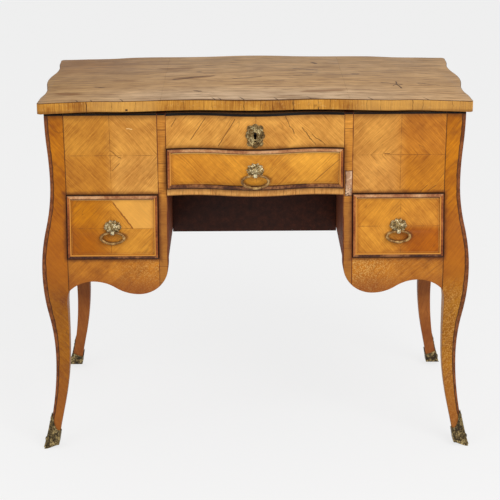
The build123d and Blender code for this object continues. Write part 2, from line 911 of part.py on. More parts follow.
def main():
    os.makedirs("parts", exist_ok=True)
    pieces = {**case_pieces(), **top_pieces(), **drawer_pieces()}
    for name, piece in pieces.items():
        export_step(piece, f"parts/{name}.step")
    print(len(pieces), "pieces, lid axis", lid_axis(), "flap axis", flap_axis(), "case top", case_top)


main()
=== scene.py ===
import bpy
import json
import math
from mathutils import Matrix, Vector
from mathutils.bvhtree import BVHTree

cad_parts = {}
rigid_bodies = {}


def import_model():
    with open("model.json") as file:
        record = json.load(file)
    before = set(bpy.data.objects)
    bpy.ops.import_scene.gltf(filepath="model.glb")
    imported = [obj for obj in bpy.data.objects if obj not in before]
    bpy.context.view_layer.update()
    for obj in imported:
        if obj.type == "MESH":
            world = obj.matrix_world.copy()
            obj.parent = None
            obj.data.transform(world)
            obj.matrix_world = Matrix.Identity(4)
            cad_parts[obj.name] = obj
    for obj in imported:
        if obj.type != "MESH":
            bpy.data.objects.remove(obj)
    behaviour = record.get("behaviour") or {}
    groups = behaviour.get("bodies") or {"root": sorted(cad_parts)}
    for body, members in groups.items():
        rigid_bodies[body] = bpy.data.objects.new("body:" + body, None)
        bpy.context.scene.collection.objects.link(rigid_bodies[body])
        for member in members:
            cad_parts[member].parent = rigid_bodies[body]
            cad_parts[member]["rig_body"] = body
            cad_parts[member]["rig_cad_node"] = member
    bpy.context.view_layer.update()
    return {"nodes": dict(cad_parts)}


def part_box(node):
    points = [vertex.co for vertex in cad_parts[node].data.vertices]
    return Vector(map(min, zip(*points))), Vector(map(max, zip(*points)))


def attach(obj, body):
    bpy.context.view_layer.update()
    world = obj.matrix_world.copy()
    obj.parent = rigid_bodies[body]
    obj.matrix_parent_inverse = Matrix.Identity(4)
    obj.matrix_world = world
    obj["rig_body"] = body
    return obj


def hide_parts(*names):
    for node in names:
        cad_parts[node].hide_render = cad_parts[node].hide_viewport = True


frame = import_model()
nodes = frame["nodes"]
sides = ("left", "right")
drawers = ("left_drawer", "right_drawer", "centre_drawer")
print("frame loaded:", len(nodes), "nodes")

caseSize = {
    "halfLength": 0.431,
    "halfDepth": 0.23,
    "frontInner": -0.206,   # flat back of the front pieces
    "lidEdge": 0.192,       # joint between the lid and a flap
    "stileIn": 0.1825,
    "stileOut": 0.2015,
    "postJoint": 0.3918,    # where a front panel meets its post
    "underTop": 0.7256,
}

swell = {
    # height and offset from the case line, from the top down to the toe
    "stations": ((0.7296, 0), (0.5811, -0.0065), (0.3951, 0.015), (0.199, -0.004), (0, 0.024)),
    "backTuck": 0.0055,     # the back feet are drawn in by this much sideways
    "tuckBelow": 0.3,
    "soleBelow": 0.02,
    "soleRise": 0.0085,
    "flatToe": 0.004,       # how far in from the corner the sole stays flat
    "soleRun": 0.022,       # and over what length it rises
}

softening = {
    "sharp": math.radians(38),
    "jointReach": 0.0006,
    "jointShift": 0.0003,
}


def swellAt(level, tuck=0):
    stations = [(height, offset - (tuck if height < swell["tuckBelow"] else 0)) for height, offset in swell["stations"]]
    for (high, start), (low, end) in zip(stations, stations[1:]):
        if level >= low or low == 0:
            share = min(max((high - level) / (high - low), 0), 1)
            if low == 0:
                return start + (end - start) * share * share
            bend = 2 * share * share if share < 0.5 else 1 - 2 * (1 - share) ** 2
            return start + (end - start) * bend


def caseLine(level, tuck):
    # half the length and half the depth of the case at a height
    return caseSize["halfLength"] + swellAt(level, tuck), caseSize["halfDepth"] + swellAt(level)


def fromCorner(place, tuck):
    outerX, outerY = caseLine(place.z, tuck)
    return max(outerX - abs(place.x), outerY - abs(place.y))


def selectOnly(*pieces):
    bpy.ops.object.select_all(action="DESELECT")
    for piece in pieces:
        piece.select_set(True)
    bpy.context.view_layer.objects.active = pieces[0]


def newest():
    return bpy.context.view_layer.objects.active


def editMesh(piece):
    selectOnly(piece)
    bpy.ops.object.mode_set(mode="EDIT")
    bpy.ops.mesh.select_all(action="SELECT")


def leaveEdit():
    bpy.ops.object.mode_set(mode="OBJECT")


def applyModifier(piece, kind, **values):
    modifier = piece.modifiers.new(kind.title(), kind)
    for key, value in values.items():
        setattr(modifier, key, value)
    selectOnly(piece)
    bpy.ops.object.modifier_apply(modifier=modifier.name)


def smoothPiece(piece, angle):
    selectOnly(piece)
    bpy.ops.object.shade_smooth_by_angle(angle=math.radians(angle))


def joined(pieces, name):
    selectOnly(*pieces)
    bpy.ops.object.join()
    whole = newest()
    whole.name = name
    return whole


def bakePlace(piece):
    selectOnly(piece)
    bpy.ops.object.transform_apply(location=True, rotation=True, scale=True)


def cleanCopy(node, name):
    # the node as one merged mesh, without its custom normals
    piece = nodes[node].copy()
    piece.data = nodes[node].data.copy()
    piece.name = name
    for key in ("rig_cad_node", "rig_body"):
        del piece[key]
    piece.parent = None
    bpy.context.scene.collection.objects.link(piece)
    selectOnly(piece)
    bpy.ops.mesh.customdata_custom_splitnormals_clear()
    editMesh(piece)
    bpy.ops.mesh.remove_doubles(threshold=0.00001)
    bpy.ops.mesh.dissolve_limited(angle_limit=math.radians(0.1))
    leaveEdit()
    return piece


def liftSole(piece, tuck):
    # the foot stands on its toe: the sole rises towards the inner sides
    for point in piece.data.vertices:
        if point.co.z < swell["soleBelow"]:
            rise = min(max((fromCorner(point.co, tuck) - swell["flatToe"]) / swell["soleRun"], 0), 1)
            point.co.z = max(point.co.z, swell["soleRise"] * rise)


def softenAwayFrom(piece, joint, edge, steps):
    # round every sharp edge but those at the joint, and bring the joint's faces nearly together
    reach, shift = softening["jointReach"], softening["jointShift"]
    editMesh(piece)
    bpy.ops.mesh.select_mode(type="EDGE")
    bpy.ops.mesh.select_all(action="DESELECT")
    bpy.ops.mesh.edges_select_sharp(sharpness=softening["sharp"])
    leaveEdit()
    points = piece.data.vertices
    weights = piece.data.attributes.new("bevel_weight_edge", "FLOAT", "EDGE")
    for index, line in enumerate(piece.data.edges):
        atJoint = all(abs(abs(points[end].co.x) - joint) < reach for end in line.vertices)
        weights.data[index].value = 1 if line.select and not atJoint else 0
    for point in points:
        if abs(abs(point.co.x) - joint) < reach:
            outward = shift if abs(point.co.x) < joint else -shift
            point.co.x += outward if point.co.x > 0 else -outward
    applyModifier(piece, "BEVEL", width=edge, segments=steps, limit_method="WEIGHT")


def standFor(piece, node, body, lookNames, facePick=None):
    # the piece takes the node's place on its body, in its looks
    piece.data.materials.clear()
    for name in lookNames:
        piece.data.materials.append(looks[name])
    if facePick:
        for face in piece.data.polygons:
            face.material_index = facePick(face)
    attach(piece, body)
    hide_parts(node)


def dressed(node, body, lookNames, facePick=None, slotName="tulipwood_veneer", edge=0.0007, steps=2, joint=None,
            soleTuck=None):
    # a merged copy with softened edges stands for the CAD node
    piece = cleanCopy(node, node + ".veneered")
    if soleTuck is not None:
        liftSole(piece, soleTuck)
    if joint:
        softenAwayFrom(piece, joint, edge, steps)
    else:
        applyModifier(piece, "BEVEL", width=edge, segments=steps, limit_method="ANGLE", angle_limit=softening["sharp"])
    smoothPiece(piece, 35)
    standFor(piece, node, body, lookNames, facePick)
    return piece


def tone(red, green, blue):
    def straight(value):
        value /= 255
        return value / 12.92 if value <= 0.04045 else ((value + 0.055) / 1.055) ** 2.4
    return (straight(red), straight(green), straight(blue), 1)


class Field:
    # a value that differs from point to point; arithmetic with it adds shader nodes
    def __init__(self, socket):
        self.socket = socket

    def __rsub__(self, other):
        return calc("SUBTRACT", other, self)


signs = {"add": "ADD", "sub": "SUBTRACT", "mul": "MULTIPLY", "truediv": "DIVIDE", "abs": "ABSOLUTE"}
for sign, operation in signs.items():
    setattr(Field, "__" + sign + "__", lambda *values, operation=operation: calc(operation, *values))


def feed(socket, value):
    # a field, a number, a shade in red, green and blue or a finished tone
    if isinstance(value, Field):
        socket.id_data.links.new(value.socket, socket)
    else:
        socket.default_value = tone(*value) if isinstance(value, tuple) and len(value) == 3 else value


def feedNamed(node, values):
    for name, value in values.items():
        feed(node.inputs[name], value)


def treeOf(*values):
    return next(value.socket.id_data for value in values if isinstance(value, Field))


def addNode(kind, *values):
    # a node in the same tree as the fields that feed it
    node = treeOf(*values).nodes.new(kind)
    for socket, value in zip(node.inputs, values):
        feed(socket, value)
    return node


def calc(operation, *values):
    node = addNode("ShaderNodeMath", *values)
    node.operation = operation
    return Field(node.outputs[0])


def highest(first, second):
    return calc("MAXIMUM", first, second)


def lowest(first, second):
    return calc("MINIMUM", first, second)


def combine(first, second, third):
    return Field(addNode("ShaderNodeCombineXYZ", first, second, third).outputs[0])


def fade(value, low, high, atLow=0, atHigh=1):
    node = addNode("ShaderNodeMapRange", value, low, high, atLow, atHigh)
    node.interpolation_type = "SMOOTHSTEP"
    return Field(node.outputs[0])


def fadeOut(value, low, high, strength=1):
    return fade(value, low, high, strength, 0)


def noise(place, scale=1, detail=2, roughness=0.5, distortion=0):
    node = addNode("ShaderNodeTexNoise", place)
    feedNamed(node, {"Scale": scale, "Detail": detail, "Roughness": roughness, "Distortion": distortion})
    return Field(node.outputs[0])


def sway(place, reach, *noiseKind):
    # noise that swings as far below nothing as above it
    return noise(place, *noiseKind) * (2 * reach) - reach


def swing(base, *pairs):
    # base plus each noise's swing about its middle
    total = base - sum(share for value, share in pairs) / 2
    for value, share in pairs:
        total = value * share + total
    return total


def nearest(value, spots):
    near = 1
    for spot in spots:
        near = lowest(near, abs(value - spot))
    return near


def reachFrom(x, z, centre, half):
    # how far a point is outside a rectangle; less than nothing inside it
    return highest(abs(x - centre[0]) - half[0], abs(z - centre[1]) - half[1])


def mixTones(factor, first, second, way="MIX"):
    node = treeOf(factor, first, second).nodes.new("ShaderNodeMix")
    node.data_type = "RGBA"
    node.blend_type = way
    for number, value in ((0, factor), (6, first), (7, second)):
        feed(node.inputs[number], value)
    return Field(node.outputs[2])


def ramp(factor, places, shades):
    node = addNode("ShaderNodeValToRGB", factor)
    ladder = node.color_ramp.elements
    while len(ladder) < len(places):
        ladder.new(0.5)
    for element, place, shade in zip(ladder, places, shades):
        element.position = place
        element.color = tone(*shade)
    return Field(node.outputs[0])


def newLook(name):
    look = bpy.data.materials.new(name)
    look.use_nodes = True
    tree = look.node_tree
    tree.nodes.clear()
    output = tree.nodes.new("ShaderNodeOutputMaterial")
    shader = tree.nodes.new("ShaderNodeBsdfPrincipled")
    tree.links.new(shader.outputs[0], output.inputs[0])
    return look, tree, shader


class Coat:
    # a look in the making: its shader, its colour so far and the place of each point
    def __init__(self, name):
        self.look, self.tree, self.shader = newLook(name)
        self.place = self.read("ShaderNodeTexCoord", "Object")
        self.x, self.y, self.z = [Field(part) for part in addNode("ShaderNodeSeparateXYZ", self.place).outputs]
        self.colour = None

    def read(self, kind, output, **settings):
        node = self.tree.nodes.new(kind)
        for name, value in settings.items():
            setattr(node, name, value)
        return Field(node.outputs[output])

    def tint(self, mask, shade):
        # lay a shade, or another field of colour, over the colour where the mask is
        self.colour = mixTones(mask, self.colour, shade)

    def deepen(self, factor, shares):
        level = combine(*[factor * share + 1 for share in shares])
        self.colour = mixTones(1, self.colour, level, "MULTIPLY")

    def finish(self, roughness, relief=(), metallic=0, specular=0.5, varnish=(0, 0.03)):
        # relief is height, strength and distance; varnish is its weight and roughness
        values = {"Base Color": self.colour, "Roughness": roughness, "Metallic": metallic,
                  "Specular IOR Level": specular, "Coat Weight": varnish[0], "Coat Roughness": varnish[1]}
        if relief:
            bump = self.tree.nodes.new("ShaderNodeBump")
            feedNamed(bump, dict(zip(("Height", "Strength", "Distance"), relief)))
            values["Normal"] = Field(bump.outputs[0])
        feedNamed(self.shader, values)
        return self.look


plainVeneer = {
    "face": "front",                # front reads x and z, side reads y and z, top reads x and y
    "centre": (0, 0),
    "fold": (False, False),         # book match across, and up and down
    "grain": 0,                     # degrees, in the folded quarter
    "tones": ((198, 132, 52),),     # one, or four: top left, top right, low left, low right
    "melt": (0.0004, 0.0004),       # how gradually quarters pass into each other, across and up
    "streaks": 400,                 # to the metre across the grain
    "length": 11,                   # and along it
    "broad": 0.62,
    "streaky": 0.4,
    "porous": 0.34,
    "curly": 0.22,
    "darkStreaks": 0.45,
    "deepening": (1.7, 2.3, 3),     # how strongly the figure changes red, green and blue
    "seam": 0,                      # strength of the dark joints between quarters
    "cracks": 0,
    "stain": 0.25,
    "specks": 0,
    "seed": 0,
}


def underVarnish(shade):
    # the varnish adds a little pale reflection, so the wood under it is that much deeper
    return tuple(max(part - lift, 0) for part, lift in zip(tone(*shade), (0.002, 0.004, 0.0085))) + (1,)


def quarterTones(left, low, tones, melt):
    tones = [underVarnish(shade) for shade in tones]
    if len(tones) == 1:
        return tones[0]
    right = fade(left, -melt[0], melt[0])
    upper = fade(low, -melt[1], melt[1])
    return mixTones(upper, mixTones(right, tones[2], tones[3]), mixTones(right, tones[0], tones[1]))


def veneerLook(name, *finishings, **changes):
    look = {**plainVeneer, **changes}
    coat = Coat(name)
    x, y, z = coat.x, coat.y, coat.z
    across, upward, depth = {"front": (x, z, y), "side": (y, z, x), "top": (x, y, z)}[look["face"]]
    left = across - look["centre"][0]
    low = coat.low = upward - look["centre"][1]
    u = abs(left) if look["fold"][0] else left
    v = abs(low) if look["fold"][1] else low
    cosine, sine = math.cos(math.radians(look["grain"])), math.sin(math.radians(look["grain"]))
    along = u * cosine + v * sine
    over = v * cosine - u * sine + sway(coat.place, 0.008, 9, 1)
    seeded = depth + look["seed"]

    def grainNoise(alongScale, overScale, detail, shift, roughness=0.58):
        return noise(combine(along * alongScale, over * overScale, seeded + shift), 1, detail, roughness)

    cloud = noise(combine(left, low, seeded), 13, 3, 0.55)
    streak = grainNoise(look["length"], look["streaks"], 3, 0)
    pore = grainNoise(60, look["streaks"] * 2.6, 1, 3)
    curl = grainNoise(95, 34, 2, 5)
    height = pore * 0.5 + streak
    coat.colour = quarterTones(left, low, look["tones"], look["melt"])
    figure = ((cloud, look["broad"]), (streak, look["streaky"]), (pore, look["porous"]), (curl, look["curly"]))
    coat.deepen(swing(0, *figure), look["deepening"])
    dark = grainNoise(look["length"] * 0.8, look["streaks"] * 0.7, 2, 9)
    coat.tint(fade(dark, 0.6, 0.72, 0, look["darkStreaks"]), (112, 60, 20))
    stained = noise(combine(left, low, seeded + 20), 17, 4, 0.65)
    coat.tint(fade(stained, 0.54, 0.74, 0, look["stain"]), (118, 62, 22))
    if look["seam"]:
        upright = fadeOut(abs(left), 0.0003, 0.0008)
        level = fadeOut(abs(low), 0.0003, 0.0008) if look["fold"][1] else 0
        broken = fade(noise(coat.place, 46, 1), 0.36, 0.58, 0.25, 1)
        coat.tint(highest(upright, level) * broken * look["seam"], (96, 50, 20))
    if look["cracks"]:
        ridge = abs(grainNoise(7, 46, 1.5, 4, 0.5) - 0.5)
        where = fade(noise(combine(left, low, 7.3), 21, 1), 0.54, 0.64)
        crack = fadeOut(ridge, 0.003, 0.011) * where
        coat.tint(crack * look["cracks"], (70, 34, 14))
        height = crack * -1.6 + height
    if look["specks"]:
        flake = fade(noise(combine(left + 3.1, low, seeded), 190, 3, 0.6), 0.58, 0.66)
        coat.tint(flake * look["specks"], (232, 192, 130))
    for finishing in finishings:
        finishing(coat)
    return coat.finish(cloud * 0.3 + (pore * 0.1 + 0.33), (height, 0.16, 0.0003), specular=0.15, varnish=(0.1, 0.3))


def strokes(coat, lines, shade, strength, axes="xz"):
    # short cracks between points, as in crackLines
    shift = sway(coat.place, 0.003, 75, 2)
    a, b = [getattr(coat, axis) + shift for axis in axes]
    total = 0
    for startA, startB, endA, endB, width in lines:
        run = Vector((endA - startA, endB - startB))
        length = run.length
        run.normalize()
        fromA, fromB = a - startA, b - startB
        away = abs(fromA * run.y - fromB * run.x)
        along = fromA * run.x + fromB * run.y
        beyond = highest(abs(along - length / 2) - length * 0.46, 0) * 0.6
        total = highest(total, fadeOut(away + beyond, width * 0.3, width))
    coat.tint(total * strength, shade)


def uprightCracks(coat, spots, width, strength):
    # thin cracks across an edge, leaning and broken a little
    near = nearest(coat.x + sway(coat.place, 0.003, 95, 1), spots)
    broken = fade(noise(coat.place, 70, 1), 0.36, 0.55, 0.35, 1)
    coat.tint(fadeOut(near, width * 0.4, width * 1.3) * broken * strength, (58, 30, 10))


caseShadeAndDirt = {
    # centre and half size of each opening, and how dark the painted shade and dirt round it is
    "openings": (((0.29675, 0.4906), (0.09525, 0.0664), 0.78), ((0, 0.61255), (0.1825, 0.04265), 0.55)),
    "reach": 0.0105,
    "underTopReach": 0.0136,
    "shadow": (9, 3, 1),
}


def shadeAndDirt(coat):
    # painted shade with some dirt round the drawers, a painted shadow line in the gap round each opening, and painted
    # shadow under the overhanging top
    wobble = sway(coat.place, 0.006, 60, 3, 0.6)
    for centre, half, strength in caseShadeAndDirt["openings"]:
        reach = reachFrom(abs(coat.x), coat.z, centre, half)
        # painted shade and dirt, fading out from each opening
        coat.tint(fadeOut(reach + wobble, 0, caseShadeAndDirt["reach"], strength), (98, 48, 16))
        # painted near-black shadow in the gap round the opening
        coat.tint(fadeOut(reach, 0.0006, 0.0014, 0.92), (34, 16, 8))
    top = caseSize["underTop"]
    # painted shade under the overhanging top
    coat.tint(fade(coat.z + wobble, top - caseShadeAndDirt["underTopReach"], top + 0.001, 0, 0.5), (96, 52, 18))
    # painted near-black shadow line right under the top
    coat.tint(fade(coat.z, top - 0.0004, top + 0.0004), caseShadeAndDirt["shadow"])


def shadowUnderTop(coat):
    # painted shadow: the head of the frieze is painted near-black where the overhanging top shades it
    start = caseSize["underTop"] - 0.002
    coat.tint(fade(coat.z, start, start + 0.0008), caseShadeAndDirt["shadow"])


def postJoint(coat):
    # dark joint between a panel and its post
    line = fadeOut(abs(abs(coat.x) - caseSize["postJoint"]), 0.0005, 0.0012, 0.85)
    coat.tint(line * fade(coat.z, 0.342, 0.348), (72, 36, 14))


def stringing(coat):
    near = nearest(abs(coat.x), (caseSize["stileIn"] + 0.0007, caseSize["stileOut"] - 0.0007))
    broken = fade(noise(coat.place, 38, 1), 0.34, 0.56, 0.45, 0.95)
    coat.tint(fadeOut(near, 0.0006, 0.0013) * broken, (98, 38, 16))


stileFacts = {
    "cuts": 0.036,                   # height of each piece of the crossbanding
    "below": 0.0065,                 # the first piece starts this far below the floor
    "lostCentre": (0.1938, 0.5786),  # where a piece of veneer is lost
    "lostHalf": (0.0076, 0.0267),
    "ground": ((196, 148, 112), (226, 188, 152), (74, 46, 34)),
}


def stileFinish(coat):
    place, z = coat.place, coat.z
    near = abs(calc("FRACT", (z + stileFacts["below"]) / stileFacts["cuts"]) - 0.5)
    coat.tint(fadeOut(near, 0.012, 0.03) * fade(noise(place, 31, 1), 0.42, 0.6, 0, 0.7), (92, 46, 18))
    coat.tint(fadeOut(z, 0.53, 0.562, 0.62), (140, 84, 34))
    # bare ground where a piece of the right stile's veneer is lost
    dull, pale, dark = stileFacts["ground"]
    reach = reachFrom(coat.x, z, stileFacts["lostCentre"], stileFacts["lostHalf"]) + sway(place, 0.002, 150, 2)
    crumbs = fade(noise(place, 260, 3, 0.65), 0.5, 0.6) * (fadeOut(z, 0.562, 0.578) * 0.65 + 0.2)
    ground = mixTones(crumbs, mixTones(fade(noise(place, 110, 2), 0.42, 0.6), dull, pale), dark)
    coat.tint(fadeOut(reach, -0.0007, 0.0003), ground)
    coat.tint(fadeOut(abs(reach), 0.0006, 0.0015, 0.75) * fade(coat.x, 0.17, 0.18), (60, 34, 20))


def frontBox(node):
    # a node's centre and half size as seen from the front
    low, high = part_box(node)
    return ((low[0] + high[0]) / 2, (low[2] + high[2]) / 2), ((high[0] - low[0]) / 2, (high[2] - low[2]) / 2)


fieldFacts = {
    "beadWidth": 0.008,
    "topRun": 0.0036,               # height of the strip along the top that catches the light
    "shadowAndRubShift": (0.0015, -0.001),   # the ring's painted shadow and rubbed track, against the box of the ring
    "shadowAndRubInset": (0.0015, 0.002),
}


def drawerField(drawer):
    # painted highlight inside the bead, painted shade and dirt along the field's edges, and the ring's painted shadow
    # with its rubbed track
    centre, half = frontBox(drawer + "_cockbead")
    half = [reach - fieldFacts["beadWidth"] for reach in half]
    topOnly = centre[1] + half[1] - fieldFacts["topRun"]
    middle, span = frontBox(drawer + "_ring")
    middle = [part + shift for part, shift in zip(middle, fieldFacts["shadowAndRubShift"])]
    span = [part - inset for part, inset in zip(span, fieldFacts["shadowAndRubInset"])]

    def finishing(coat):
        inside = reachFrom(coat.x, coat.z, centre, half) * -1
        # painted shade and dirt, darker towards the bead
        coat.tint(fadeOut(inside + sway(coat.place, 0.006, 55, 2), 0, 0.01, 0.28), (126, 68, 22))
        across, down = (coat.x - middle[0]) / span[0], (coat.z - middle[1]) / span[1]
        around = calc("SQRT", across * across + down * down)
        # the ring's painted shadow, set off from the ring, with the rub where it rests
        coat.tint(fadeOut(abs(around - 1), 0.05, 0.32, 0.62), (92, 46, 14))
        above = calc("GREATER_THAN", coat.z, topOnly)
        # painted highlight along the inner edge of the bead, strongest under the top run
        innerEdgeHighlight = fade(inside, 0.0009, 0.0012) * fadeOut(inside, 0.0024, 0.003)
        patchy = fade(noise(coat.place, 24, 2), 0.38, 0.52, 0.4, 0.95)
        coat.tint(innerEdgeHighlight * patchy * (above * 0.78 + 0.22), (240, 192, 108))
        if drawer != "centre_drawer":
            # the side drawers' top bead has a second, inner step
            coat.tint(fadeOut(inside, 0.002, 0.0026, 0.85) * above, (176, 118, 70))
        # painted shadow under the top run of the bead
        coat.tint(fadeOut(inside, 0.0004, 0.0011, 0.5) * above, (60, 28, 12))
    return finishing


crackLines = {
    # the lines, each with its start, end and width, then their tone and strength
    "frieze": (((-0.0999, 0.7213, -0.1338, 0.6707, 0.0009), (-0.0393, 0.721, -0.077, 0.6586, 0.0011),
                (-0.1614, 0.7188, -0.1715, 0.701, 0.0009), (0.0604, 0.7237, 0.0813, 0.6848, 0.001),
                (0.0951, 0.6983, 0.1252, 0.66, 0.0012), (0.115, 0.6846, 0.1448, 0.6599, 0.0009)),
               (72, 36, 14), 0.85),
    "drawer": (((0.1777, 0.6348, 0.121, 0.5825, 0.001),), (104, 56, 20), 0.75),
    "openJoint": (((-0.2966, 0.5417, -0.2532, 0.4851, 0.0021),), (128, 70, 24), 0.85),
    "scratch": (((-0.2625, 0.6983, -0.2515, 0.6968, 0.0014),), (244, 206, 140), 0.9),
    "panels": (((-0.2985, 0.652, -0.2765, 0.6335, 0.0009), (-0.2965, 0.6065, -0.279, 0.6245, 0.0009),
                (0.2645, 0.6425, 0.2765, 0.6415, 0.0012), (0.3405, 0.559, 0.3575, 0.5745, 0.0009),
                (0.357, 0.5605, 0.3745, 0.5735, 0.0009)), (84, 42, 16), 0.8),
}


def cracked(*kinds):
    def finishing(coat):
        for kind in kinds:
            strokes(coat, *crackLines[kind])
    return finishing


def paleBeyondCrack(coat):
    # the left drawer's upper right quarter is bleached to one side of its open joint
    startX, startZ, endX, endZ = crackLines["openJoint"][0][0][:4]
    run = Vector((endX - startX, endZ - startZ)).normalized()
    beyond = (coat.z - startZ) * run.x - (coat.x - startX) * run.y
    coat.tint(fade(beyond, -0.001, 0.003) * fade(coat.low, -0.001, 0.001) * 0.62, (236, 174, 82))


def railCracks(coat):
    uprightCracks(coat, (-0.0936, -0.0367, -0.0117, 0.0582, 0.092), 0.0006, 0.7)
    coat.tint(fadeOut(coat.z, 0.556, 0.5585, 0.7), (104, 54, 20))


def apronFinish(coat):
    # worn flakes beside the stile, redder towards the lower edge
    x = abs(coat.x)
    flakes = fade(noise(coat.place, 340, 4, 0.7), 0.48, 0.6)
    nearStile = fade(x, 0.215, 0.33, 0.85, 0.12) * fade(coat.x, -0.1, 0.1, 0.55, 1)
    coat.tint(flakes * nearStile, (218, 164, 88))
    coat.tint(fadeOut(coat.z, 0.352, 0.4, 0.55), (138, 66, 26))
    coat.tint(fade(x, 0.372, 0.394, 0, 0.3), (120, 62, 22))


legTones = {
    "post": (176, 103, 26),
    # left is darker than right: painted shade, as from a light on the right
    "left": (154, 92, 42),
    "right": (164, 104, 44),
    "strip": (134, 76, 38),
    "stripDark": (96, 48, 22),
    "foot": (146, 78, 36),
}


def cornerDistance(coat):
    return coat.read("ShaderNodeAttribute", "Fac", attribute_name="cornerDistance")


def legFinish(coat):
    # the post is golden and the leg duller, the left leg is painted in shade against the right, and dark banding runs
    # down the outer corner
    place, x, z = coat.place, coat.x, coat.z
    shades = legTones
    # painted shade: the left leg darker, the right lighter
    legTone = mixTones(fade(x, -0.1, 0.1), shades["left"], shades["right"])
    target = mixTones(fade(z, 0.33, 0.44), legTone, shades["post"])
    coat.colour = mixTones(1, coat.colour, mixTones(1, target, shades["post"], "DIVIDE"), "MULTIPLY")
    coat.tint(fadeOut(z, 0.44, 0.58, 0.55) * fade(z, 0.3, 0.4), (160, 86, 22))
    flakes = fade(noise(place, 330, 4, 0.7), 0.47, 0.6)
    coat.tint(flakes * (fade(x, -0.1, 0.1, 0.1, 0.7) * fadeOut(z, 0.33, 0.39)), (204, 146, 72))
    coat.tint(fadeOut(z, 0.07, 0.22, 0.5), shades["foot"])
    width = lowest(fade(z, 0.34, 0.46, 0.0088, 0.0074), fade(z, 0.1, 0.33, 0.005, 0.0088))
    distance = cornerDistance(coat) + sway(place, 0.0017, 48, 2) - width
    mottled = fade(noise(place, 85, 3, 0.6), 0.38, 0.62)
    coat.tint(fadeOut(distance, -0.0006, 0.0004, 0.92), mixTones(mottled, shades["stripDark"], shades["strip"]))
    coat.tint(fadeOut(abs(distance), 0.0005, 0.0013, 0.85), (40, 18, 9))


def backLegFinish(coat):
    coat.tint(fadeOut(coat.z, 0.08, 0.34, 0.5), (142, 72, 34))
    coat.tint(fade(cornerDistance(coat), 0.027, 0.03, 0, 0.6), (84, 38, 22))


looks = {}
book = {"fold": (True, True), "grain": -47, "seam": 0.6, "cracks": 0.3}
looks["leftPanel"] = veneerLook(
    "panel veneer left", cracked("scratch", "panels"), shadeAndDirt, postJoint, centre=(-0.2983, 0.6407), seed=1,
    melt=(0.014, 0.012), tones=((199, 133, 51), (206, 142, 64), (193, 125, 46), (211, 148, 71)), **book)
looks["rightPanel"] = veneerLook(
    "panel veneer right", cracked("scratch", "panels"), shadeAndDirt, postJoint, centre=(0.2999, 0.6391), seed=2,
    melt=(0.02, 0.02), tones=((203, 139, 64), (190, 117, 41), (206, 141, 67), (190, 118, 36)), **book)
looks["leftDrawer"] = veneerLook(
    "drawer veneer left", paleBeyondCrack, cracked("openJoint"), drawerField("left_drawer"), centre=(-0.3003, 0.4873),
    seed=3, melt=(0.045, 0.022), tones=((185, 112, 25), (212, 143, 54), (159, 87, 16), (196, 130, 48)), **book)
looks["rightDrawer"] = veneerLook(
    "drawer veneer right", drawerField("right_drawer"), centre=(0.302, 0.4888), seed=4, melt=(0.03, 0.01),
    tones=((202, 132, 46), (205, 135, 50), (211, 141, 52), (166, 88, 8)), **book)
looks["frieze"] = veneerLook(
    "frieze veneer", cracked("frieze"), shadeAndDirt, shadowUnderTop, centre=(0.0014, 0.68), fold=(True, False), grain=-47,
    seam=0.6, cracks=0.3, stain=0.15, seed=5, tones=((214, 150, 70),))
looks["centreDrawer"] = veneerLook(
    "centre drawer veneer", cracked("drawer"), drawerField("centre_drawer"), centre=(0.0026, 0.6126),
    fold=(True, False), grain=44, seam=0.3, melt=(0.05, 0.05), cracks=0.25, seed=6,
    tones=((209, 137, 46), (214, 146, 54)) * 2)
looks["rail"] = veneerLook(
    "rail crossbanding", railCracks, shadeAndDirt, grain=90, streaks=320, length=14, cracks=0.3, specks=0.2, seed=7,
    tones=((214, 154, 84),))
looks["stile"] = veneerLook(
    "stile crossbanding", stileFinish, shadeAndDirt, stringing, streaks=300, length=16, cracks=0.25, seed=8,
    tones=((198, 130, 54),))
looks["apron"] = veneerLook(
    "apron veneer", apronFinish, shadeAndDirt, postJoint, grain=42, streaks=200, length=12, cracks=0.3, stain=0.35,
    seed=9, tones=((181, 111, 40),))
looks["frontLeg"] = veneerLook(
    "leg veneer", legFinish, shadeAndDirt, postJoint, fold=(True, False), grain=52, streaks=190, length=16, cracks=0.3,
    stain=0.35, seed=10, tones=(legTones["post"],))
looks["backLeg"] = veneerLook(
    "back leg veneer", backLegFinish, fold=(True, False), grain=80, streaks=170, length=16, cracks=0.3, stain=0.4,
    seed=11, tones=((170, 104, 48),))
looks["sidePanel"] = veneerLook(
    "side panel veneer", face="side", centre=(0, 0.56), seed=12, stain=0.35,
    tones=((196, 130, 52), (204, 138, 60), (188, 118, 44), (200, 134, 56)), **book)
print("front veneers made")


edgeFacts = {
    "cracks": (-0.3961, -0.3433, -0.2907, -0.2432, -0.1459, -0.0874, -0.0225, 0.0111, 0.0356, 0.0774, 0.1286, 0.1537,
               0.2259, 0.255, 0.3195, 0.3402, 0.401),
    "strong": (-0.3433, -0.0225, 0.0774, 0.1286, 0.3195),
    "nicks": (-0.36, -0.331, -0.27, -0.083, -0.071, -0.026, 0.042, 0.113, 0.236, 0.352),
    "wormHole": ((-0.2606, 0.7402), (0.0016, 0.0012)),
}


def edgeFinish(coat):
    x, z = coat.x, coat.z
    worn = highest(fadeOut(abs(x + 0.27), 0.05, 0.09), fade(x, 0.17, 0.24))
    coat.tint(worn * 0.42, (212, 162, 88))
    uprightCracks(coat, edgeFacts["cracks"], 0.0005, 0.7)
    uprightCracks(coat, edgeFacts["strong"], 0.0009, 0.9)
    coat.tint(fadeOut(reachFrom(x, z, *edgeFacts["wormHole"]), 0, 0.0014, 0.95), (40, 22, 10))
    # darker along both arrises
    coat.tint(fade(z, 0.7572, 0.759, 0, 0.8), (70, 38, 14))
    coat.tint(fadeOut(z, 0.7345, 0.74, 0.55), (116, 68, 22))


